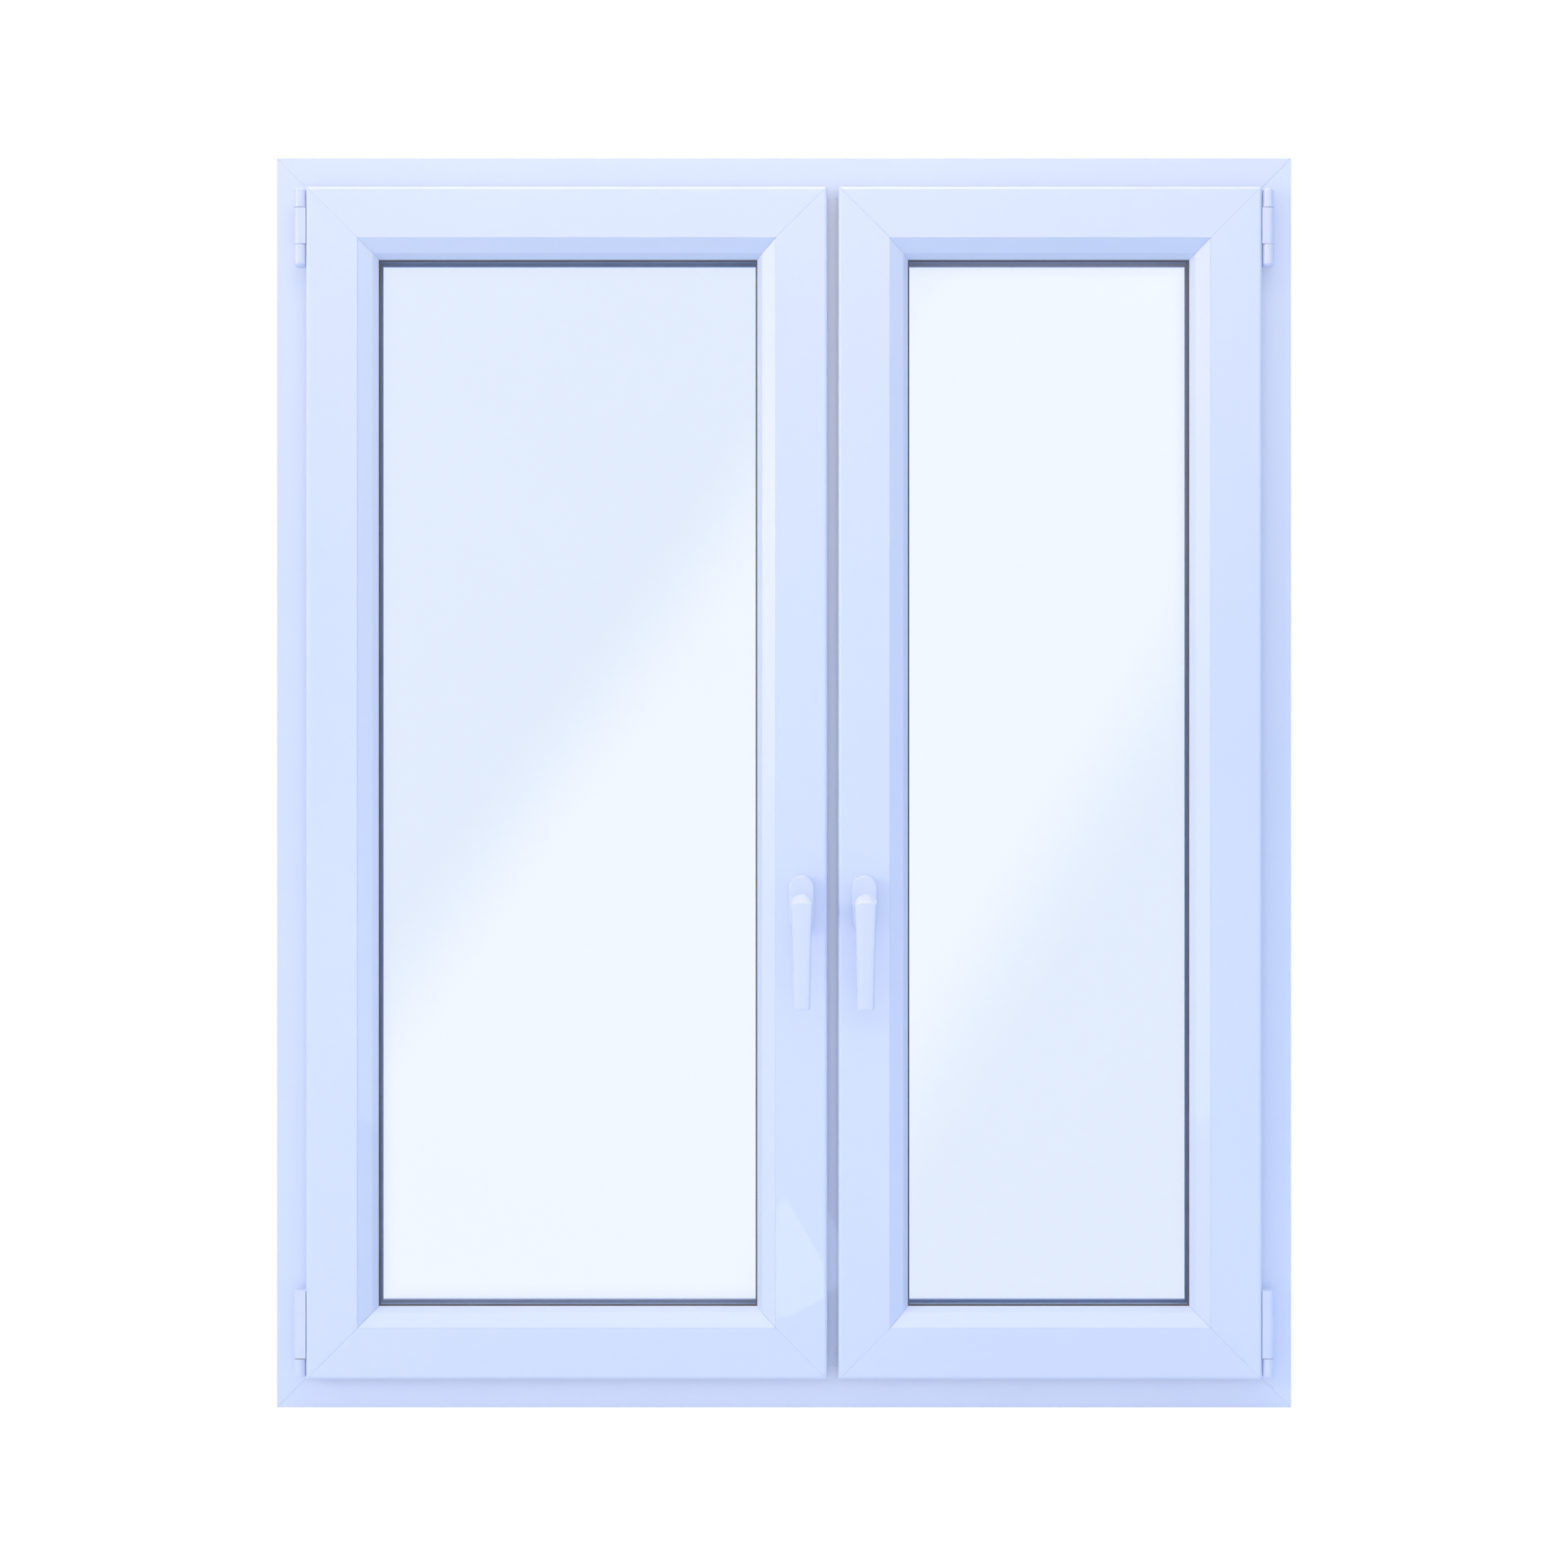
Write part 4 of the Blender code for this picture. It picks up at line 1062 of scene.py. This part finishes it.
def make_stay_track():
    """The slotted plate on the sash's top edge that the stay's stud runs in."""
    node = "left_stay_track"
    low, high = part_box(node)
    axis, _ = hinge_axis("left")
    middle = (low.y + high.y) / 2
    plate = rounded([(a, b, 0.003) for a, b in rectangle(low.x, high.x, low.y, high.y)])
    x0, x1 = (axis + reach for reach in STAY_SLOT)
    slot = rounded([(a, b, 0.0039) for a, b in rectangle(x0, x1, middle - 0.004, middle + 0.004)])
    track = prism(f"{node}_detailed", plate, "Z", low.z, high.z, STEEL, (0.0, 0.0003), (slot,))
    dress(track, replaces=(node,))
    places = [(low.x + 0.009, middle, high.z), (high.x - 0.009, middle, high.z)]
    dress(screws("stay_track_screws", places, Vector((0, 0, 1))), "left_sash")


# ---------------------------------------------------------------- handles and gear

def lever_half():
    """Half the lever seen from the room, from its top to its tip: (sideways, up) from the spindle."""
    head = [math.pi / 2 * i / 14 for i in range(15)]
    points = [(HEAD_R * math.sin(t), HEAD_R * math.cos(t)) for t in head]
    corner = 0.0035
    straight_end = -LEVER_LENGTH + corner
    for i in range(1, 19):
        share = i / 18
        taper = 0.62 * (1 - (1 - share) ** 3) + 0.38 * share
        points.append((HEAD_R - (HEAD_R - TIP_HALF) * taper, straight_end * share))
    for i in range(1, 7):
        t = math.pi / 2 * i / 6
        points.append((TIP_HALF - corner * (1 - math.cos(t)), straight_end - corner * math.sin(t)))
    points.append((0.0, -LEVER_LENGTH))
    return points


def lever_front(x, z):
    """How far the lever's front lies behind its foremost plane."""
    crown = 0.5 * x * x / HEAD_R
    rise = z - CREASE + 0.10 * x * x / HEAD_R
    if rise > 0:
        slope = rise * rise / (rise + 0.0006)
        return crown * 0.4 + 1.02 * slope
    drop = min(1.0, -z / LEVER_LENGTH) if z < 0 else 0.0
    return crown * 0.12 + 0.0042 * drop * drop


def make_lever(side):
    """A tapered grip whose head slopes back above a crease, on a round neck."""
    node = f"{side}_handle_lever"
    x0, z0 = handle_place(side)
    half = lever_half()
    outline = [(x, z) for x, z in half] + [(-x, z) for x, z in half[-2:0:-1]]
    bevel = 0.0026
    steps = 6
    turns = [math.pi / 2 * i / steps for i in range(steps + 1)]
    rings = [(0.0012 * (1 - math.sin(t)), 1 - 0.10 * (1 - math.cos(t))) for t in turns]
    rings += [(0.0, 0.60), (0.0, 0.30)]
    rings += [(bevel * (1 - math.cos(t)), 0.26 * (1 - math.sin(t))) for t in turns]

    def at(x, z, share):
        front = LEVER_Y[0] + lever_front(x, z)
        back = LEVER_Y[1] + 0.0015 * max(0.0, -z / LEVER_LENGTH) ** 2
        return (x0 + x, front + (back - front) * share, z0 + z)

    bm = bmesh.new()
    loops = [
        [bm.verts.new(at(x, z, share)) for x, z in inset(outline, distance)]
        for distance, share in rings
    ]
    for first, last in zip(loops, loops[1:]):
        bridge(bm, first, last)
    for loop, share, distance in ((loops[0], 1.0, rings[0][0]), (loops[-1], 0.0, rings[-1][0])):
        fill_across(bm, loop, inset(outline, distance), lambda x, z: at(x, z, share))
    lever = finish_mesh(f"{node}_detailed", bm, HANDLE_WHITE, 28)
    neck_y = (LEVER_Y[1] - 0.003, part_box(f"{side}_handle_rosette")[0].y + 0.007)
    neck = solid("neck", [
        (circle(x0, z0, NECK_R + flare), along_axis("Y", y))
        for y, flare in (
            (neck_y[0], 0.0022),
            (LEVER_Y[1] + 0.0002, 0.0022),
            (LEVER_Y[1] + 0.0012, 0.0012),
            (LEVER_Y[1] + 0.0026, 0.0004),
            (LEVER_Y[1] + 0.0045, 0.0),
            (neck_y[1], 0.0),
        )
    ], HANDLE_WHITE)
    combine(lever, "UNION", neck)
    size = SPINDLE / 2 + TOUCH
    socket = rectangle(x0 - size, x0 + size, z0 - size, z0 + size)
    hole = prism("socket", socket, "Y", -0.0905, neck_y[1] + 0.003, HANDLE_WHITE)
    combine(lever, "DIFFERENCE", hole)
    dress(lever, replaces=(node,))


def fill_across(bm, loop, outline, place, columns=8):
    """Fills a loop that is the same left and right with rows of faces from side to side."""
    count = len(loop)
    last = None
    for i in range(1, count // 2):
        right, left = loop[i], loop[count - i]
        (x1, z), (x2, _) = outline[i], outline[count - i]
        inner = [
            bm.verts.new(place(x1 + (x2 - x1) * k / columns, z)) for k in range(1, columns)
        ]
        row = [right, *inner, left]
        if last is None:
            for a, b in zip(row, row[1:]):
                bm.faces.new((loop[0], a, b))
        else:
            for a, b, c, d in zip(last, last[1:], row[1:], row):
                bm.faces.new((a, b, c, d))
        last = row
    for a, b in zip(last, last[1:]):
        bm.faces.new((loop[count // 2], b, a))


def make_rosette(side):
    """The fixed plate under the lever, with a soft rim and a raised collar round the neck."""
    node = f"{side}_handle_rosette"
    x, z = handle_place(side)
    low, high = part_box(node)
    outline = stadium(x, z, (high.x - low.x) / 2, (high.z - low.z) / 2)
    holes = (circle(x, z, NECK_R + 0.0004),)
    ends, edges = (low.y, high.y), (0.0022, 0.0004)
    plate = prism(f"{node}_detailed", outline, "Y", *ends, HANDLE_WHITE, edges, holes, steps=6)
    dress(plate, replaces=(node,))
    outline = circle(x, z, NECK_R + 0.0022)
    ends, edges = (low.y - 0.0012, low.y - HAIR), (0.0006, 0.0)
    collar = prism(f"{side}_handle_collar", outline, "Y", *ends, HANDLE_WHITE, edges, holes)
    dress(collar, f"{side}_sash")


def screws(name, places, out):
    """Low domed screw heads with a cross recess, all facing the same way."""
    radius, height = 0.0031, 0.0012
    dome = [
        (circle(0, 0, radius * share, 24), along_axis("Z", rise * height))
        for share, rise in ((1.0, -0.3), (1.0, 0.0), (0.94, 0.45), (0.78, 0.78), (0.55, 0.95), (0.3, 1.0))
    ]
    head = solid("head", dome, STEEL)
    arm, half = radius * 0.58, radius * 0.15
    for x, y in ((arm, half), (half, arm)):
        cut = box("recess", (-x, x), (-y, y), (height * 0.35, height * 2), STEEL, edge=0.0001)
        combine(head, "DIFFERENCE", cut)
    bm = bmesh.new()
    turn = out.to_track_quat("Z", "Y").to_matrix().to_4x4()
    for i, place in enumerate(places):
        spin = Matrix.Rotation(0.6 * i + 0.3, 4, "Z")
        copy = head.data.copy()
        copy.transform(Matrix.Translation(place) @ turn @ spin)
        bm.from_mesh(copy)
        bpy.data.meshes.remove(copy)
    bpy.data.objects.remove(head)
    return finish_mesh(name, bm, STEEL)


def make_drive_rod(side):
    """The flat rod on the back of the lock stile, with its two long slots and its two cams."""
    node = f"{side}_drive_rod"
    toward = 1 if side == "left" else -1
    low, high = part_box(node)
    back = low.x if side == "left" else high.x
    face = back + toward * 0.0024
    half = 0.006
    ends = sorted((back, face))
    edges = (0.0, 0.0004) if side == "left" else (0.0004, 0.0)
    corners = rectangle(GROOVE_Y - half, GROOVE_Y + half, low.z, high.z)
    outline = rounded([(a, b, 0.0045) for a, b in corners])
    heights = (0.330, 0.980)
    slots = [stadium(GROOVE_Y, z + 0.070, 0.0022, 0.022, 12) for z in heights]
    rod = prism(f"{node}_detailed", outline, "X", *ends, STEEL, edges, slots)
    for z in heights:
        reach = sorted((face - toward * 0.001, face + toward * 0.005))
        rounding = (0.0, 0.0007) if side == "left" else (0.0007, 0.0)
        outline = circle(GROOVE_Y, z, 0.0045, PIN_STEPS)
        combine(rod, "UNION", prism("cam", outline, "X", *reach, STEEL, rounding))
    dress(rod, replaces=(node,))


def make_striker(side, word, z):
    """A keep on the mullion that a cam runs past, with its two screws."""
    toward = -1 if side == "left" else 1
    face = MULLION_X + toward * (MULLION_HALF + TOUCH)
    half = 0.035
    x = sorted((face, face + toward * 0.0022))
    edges = (0.0003, 0.0) if side == "left" else (0.0, 0.0003)
    corners = rectangle(GROOVE_Y - 0.010, GROOVE_Y + 0.010, z - half, z + half)
    outline = rounded([(a, b, 0.004) for a, b in corners])
    name = f"{side}_{word}_striker"
    plate = prism(name, outline, "X", *x, STEEL, edges)
    rib_x = (face + toward * 0.001, face + toward * 0.0085)
    rib_y = (GROOVE_Y + 0.0066, GROOVE_Y + 0.0096)
    rib = box("striker_rib", rib_x, rib_y, (z - 0.027, z + 0.027), STEEL, edge=0.0006)
    combine(plate, "UNION", rib)
    node = (f"{side}_striker",) if word == "upper" else ()
    dress(plate, "frame", node)
    places = [(face + toward * 0.0022, GROOVE_Y - 0.002, z + dz) for dz in (-0.0305, 0.0305)]
    dress(screws(f"{name}_screws", places, Vector((toward, 0, 0))), "frame")


def make_strikers(side):
    low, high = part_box(f"{side}_striker")
    upper = (low.z + high.z) / 2
    make_striker(side, "upper", upper)
    make_striker(side, "lower", upper - KEEP_SPACING)


# ---------------------------------------------------------------- studio

CAMERA_DISTANCE = 2.6
CAMERA_HEIGHT = 0.7163
VIEW_WIDTH = 1.8006
PANEL_Y = -4.0

WHITE = 1.27
AMBIENT_LOW = (0.02, 0.19, 0.62)
AMBIENT_HIGH = (0.76, 0.90, 1.06)
PANEL_DIM = (0.30, 0.30, 0.30)
PANEL_BRIGHT = (1.20, 0.96, 0.54)

# The two edges of the bright band in the glass: X and Z of a place, rise, blur, and the lit side
BAND_EDGES = ((-0.031, 1.058, 1.415, 0.34, 1), (0.464, 0.871, 1.616, 0.42, -1))


def make_camera():
    """Square on to the room side, level, opposite the middle of the window."""
    camera = link("camera", bpy.data.cameras.new("camera"))
    camera.location = (0, FRAME_ROOM_Y - CAMERA_DISTANCE, CAMERA_HEIGHT)
    camera.rotation_euler = (math.pi / 2, 0, 0)
    camera.data.lens = camera.data.sensor_width * CAMERA_DISTANCE / VIEW_WIDTH
    camera.data.clip_end = 60
    bpy.context.scene.camera = camera


def make_light(name, place, size, power, colour, shadow=True, mirrored=True):
    """A soft panel of light aimed at the middle of the window. The camera doesn't see it."""
    light = bpy.data.lights.new(name, "AREA")
    light.shape = "RECTANGLE"
    light.size, light.size_y = size
    light.energy = power
    light.color = colour
    light.use_shadow = shadow
    made = link(name, light)
    made.location = place
    target = Vector((0, FRAME_ROOM_Y, CAMERA_HEIGHT))
    made.rotation_euler = (target - Vector(place)).to_track_quat("-Z", "Y").to_euler()
    made.visible_camera = False
    made.visible_glossy = mirrored


def make_world():
    """White behind the window. What lights the window is dimmer, slightly blue and stronger from above."""
    world = bpy.data.worlds.new("studio")
    world.use_nodes = True
    bpy.context.scene.world = world
    nodes, links = world.node_tree.nodes, world.node_tree.links
    way = nodes.new("ShaderNodeTexCoord").outputs["Generated"]
    split = nodes.new("ShaderNodeSeparateXYZ")
    links.new(way, split.inputs[0])
    ramp = nodes.new("ShaderNodeValToRGB")
    height = nodes.new("ShaderNodeMapRange")
    height.inputs["From Min"].default_value = -1
    links.new(split.outputs["Z"], height.inputs["Value"])
    links.new(height.outputs["Result"], ramp.inputs["Fac"])
    ramp.color_ramp.elements[0].color = (*AMBIENT_LOW, 1)
    ramp.color_ramp.elements[1].color = (*AMBIENT_HIGH, 1)
    lit = nodes["Background"]
    links.new(ramp.outputs["Color"], lit.inputs["Color"])
    seen = nodes.new("ShaderNodeBackground")
    seen.inputs["Color"].default_value = (1, 1, 1, 1)
    seen.inputs["Strength"].default_value = WHITE
    show(world.node_tree, "World Output", lit, seen)


def stage_plane(name, corners):
    mesh = bpy.data.meshes.new(name)
    mesh.from_pydata(corners, [], [(0, 1, 2, 3)])
    made = link(name, mesh)
    return made


def show(tree, output, lit, seen):
    """Ends a node tree in one shader for the camera and another for the light that reaches things."""
    mix = tree.nodes.new("ShaderNodeMixShader")
    ray = tree.nodes.new("ShaderNodeLightPath").outputs["Is Camera Ray"]
    for i, socket in enumerate((ray, lit.outputs[0], seen.outputs[0])):
        tree.links.new(socket, mix.inputs[i])
    tree.links.new(mix.outputs[0], tree.nodes[output].inputs["Surface"])


def make_floor():
    """A pale floor that the camera sees as white, so that it has no horizon."""
    reach, z = 12.0, cad_low.z - 0.002
    corners = rectangle(-reach, reach, -reach, reach)
    floor = stage_plane("floor", [(x, y, z) for x, y in corners])
    material = bpy.data.materials.new("floor")
    material.use_nodes = True
    nodes = material.node_tree.nodes
    pale = nodes["Principled BSDF"]
    pale.inputs["Base Color"].default_value = (0.82, 0.83, 0.85, 1)
    pale.inputs["Roughness"].default_value = 0.9
    glow = nodes.new("ShaderNodeEmission")
    glow.inputs["Strength"].default_value = WHITE
    show(material.node_tree, "Material Output", pale, glow)
    floor.visible_glossy = False
    floor.data.materials.append(material)


def make_panel():
    """A studio panel behind the camera, with a slanting band of light that the glass mirrors.

    The band lies between two lines that the camera sees on the glass.
    """
    reach = 6.0
    corners = rectangle(-reach, reach, CAMERA_HEIGHT - reach, CAMERA_HEIGHT + reach)
    panel = stage_plane("reflected_panel", [(x, PANEL_Y, z) for x, z in corners])
    material = bpy.data.materials.new("reflected_panel")
    material.use_nodes = True
    nodes, links = material.node_tree.nodes, material.node_tree.links
    nodes.clear()
    place = nodes.new("ShaderNodeTexCoord").outputs["Object"]
    camera_y = FRAME_ROOM_Y - CAMERA_DISTANCE
    mirror_y = (GLASS_ROOM_Y + GLASS_OUT_Y) / 2
    grow = (2 * mirror_y - camera_y - PANEL_Y) / (mirror_y - camera_y)

    def edge(x, z, slope, blur, side):
        """1 on the lit side of a line through (x, z) on the glass, 0 on the other."""
        normal = Vector((slope, 0, -1)).normalized() * side
        at = Vector((x, 0, z - CAMERA_HEIGHT)) * grow + Vector((0, 0, CAMERA_HEIGHT))
        dot = nodes.new("ShaderNodeVectorMath")
        dot.operation = "DOT_PRODUCT"
        links.new(place, dot.inputs[0])
        dot.inputs[1].default_value = normal
        span = nodes.new("ShaderNodeMapRange")
        span.interpolation_type = "SMOOTHSTEP"
        span.inputs["From Min"].default_value = normal.dot(at) - blur / 2
        span.inputs["From Max"].default_value = normal.dot(at) + blur / 2
        links.new(dot.outputs["Value"], span.inputs["Value"])
        return span.outputs["Result"]

    both = nodes.new("ShaderNodeMath")
    both.operation = "MULTIPLY"
    for i, band_edge in enumerate(BAND_EDGES):
        links.new(edge(*band_edge), both.inputs[i])
    ramp = nodes.new("ShaderNodeValToRGB")
    ramp.color_ramp.elements[0].color = (*PANEL_DIM, 1)
    ramp.color_ramp.elements[1].color = (*PANEL_BRIGHT, 1)
    links.new(both.outputs[0], ramp.inputs["Fac"])
    glow = nodes.new("ShaderNodeEmission")
    links.new(ramp.outputs["Color"], glow.inputs["Color"])
    links.new(glow.outputs[0], nodes.new("ShaderNodeOutputMaterial").inputs["Surface"])
    panel.data.materials.append(material)
    for ray in ("camera", "diffuse", "transmission", "volume_scatter", "shadow"):
        setattr(panel, f"visible_{ray}", False)


def make_studio():
    make_camera()
    make_world()
    make_floor()
    make_panel()
    make_light("overhead", (0.0, -1.2, 3.2), (1.6, 1.0), 42, (1.0, 0.70, 0.30), shadow=False)
    make_light(
        "low_fill", (0.0, -0.5, -0.12), (1.2, 0.3), 2.1, (1.0, 1.0, 1.0), shadow=False, mirrored=False
    )
    make_light("key", (-4.4, -2.4, 1.6), (1.6, 1.6), 72, (1.0, 0.76, 0.44))
    make_light("rear_fill", (2.2, 3.0, 2.4), (1.6, 1.6), 60, (1.0, 0.99, 0.97))
    bpy.context.scene.view_settings.view_transform = "Standard"
    # Two open sashes can put six panes, each with two faces, behind one another
    bpy.context.scene.cycles.transparent_max_bounces = 24


# ---------------------------------------------------------------- everything

def make_window():
    make_frame()
    make_mullion()
    make_drain_caps()
    for side in SASHES:
        make_frame_gasket(side)
        make_strikers(side)
        make_sash_bars(side)
        make_beads(side)
        make_seals(side)
        make_glazing(side)
        make_top_bracket(side)
        make_top_pin(side)
        make_bottom_bracket(side)
        make_bottom_cover(side)
        make_rosette(side)
        make_lever(side)
        make_drive_rod(side)
        carry_over(f"{side}_gearbox", STEEL)
        carry_over(f"{side}_handle_spindle", STEEL)
    make_corner_pivot()
    make_top_leaf()
    make_stay_arm()
    make_stay_track()


make_studio()
make_window()
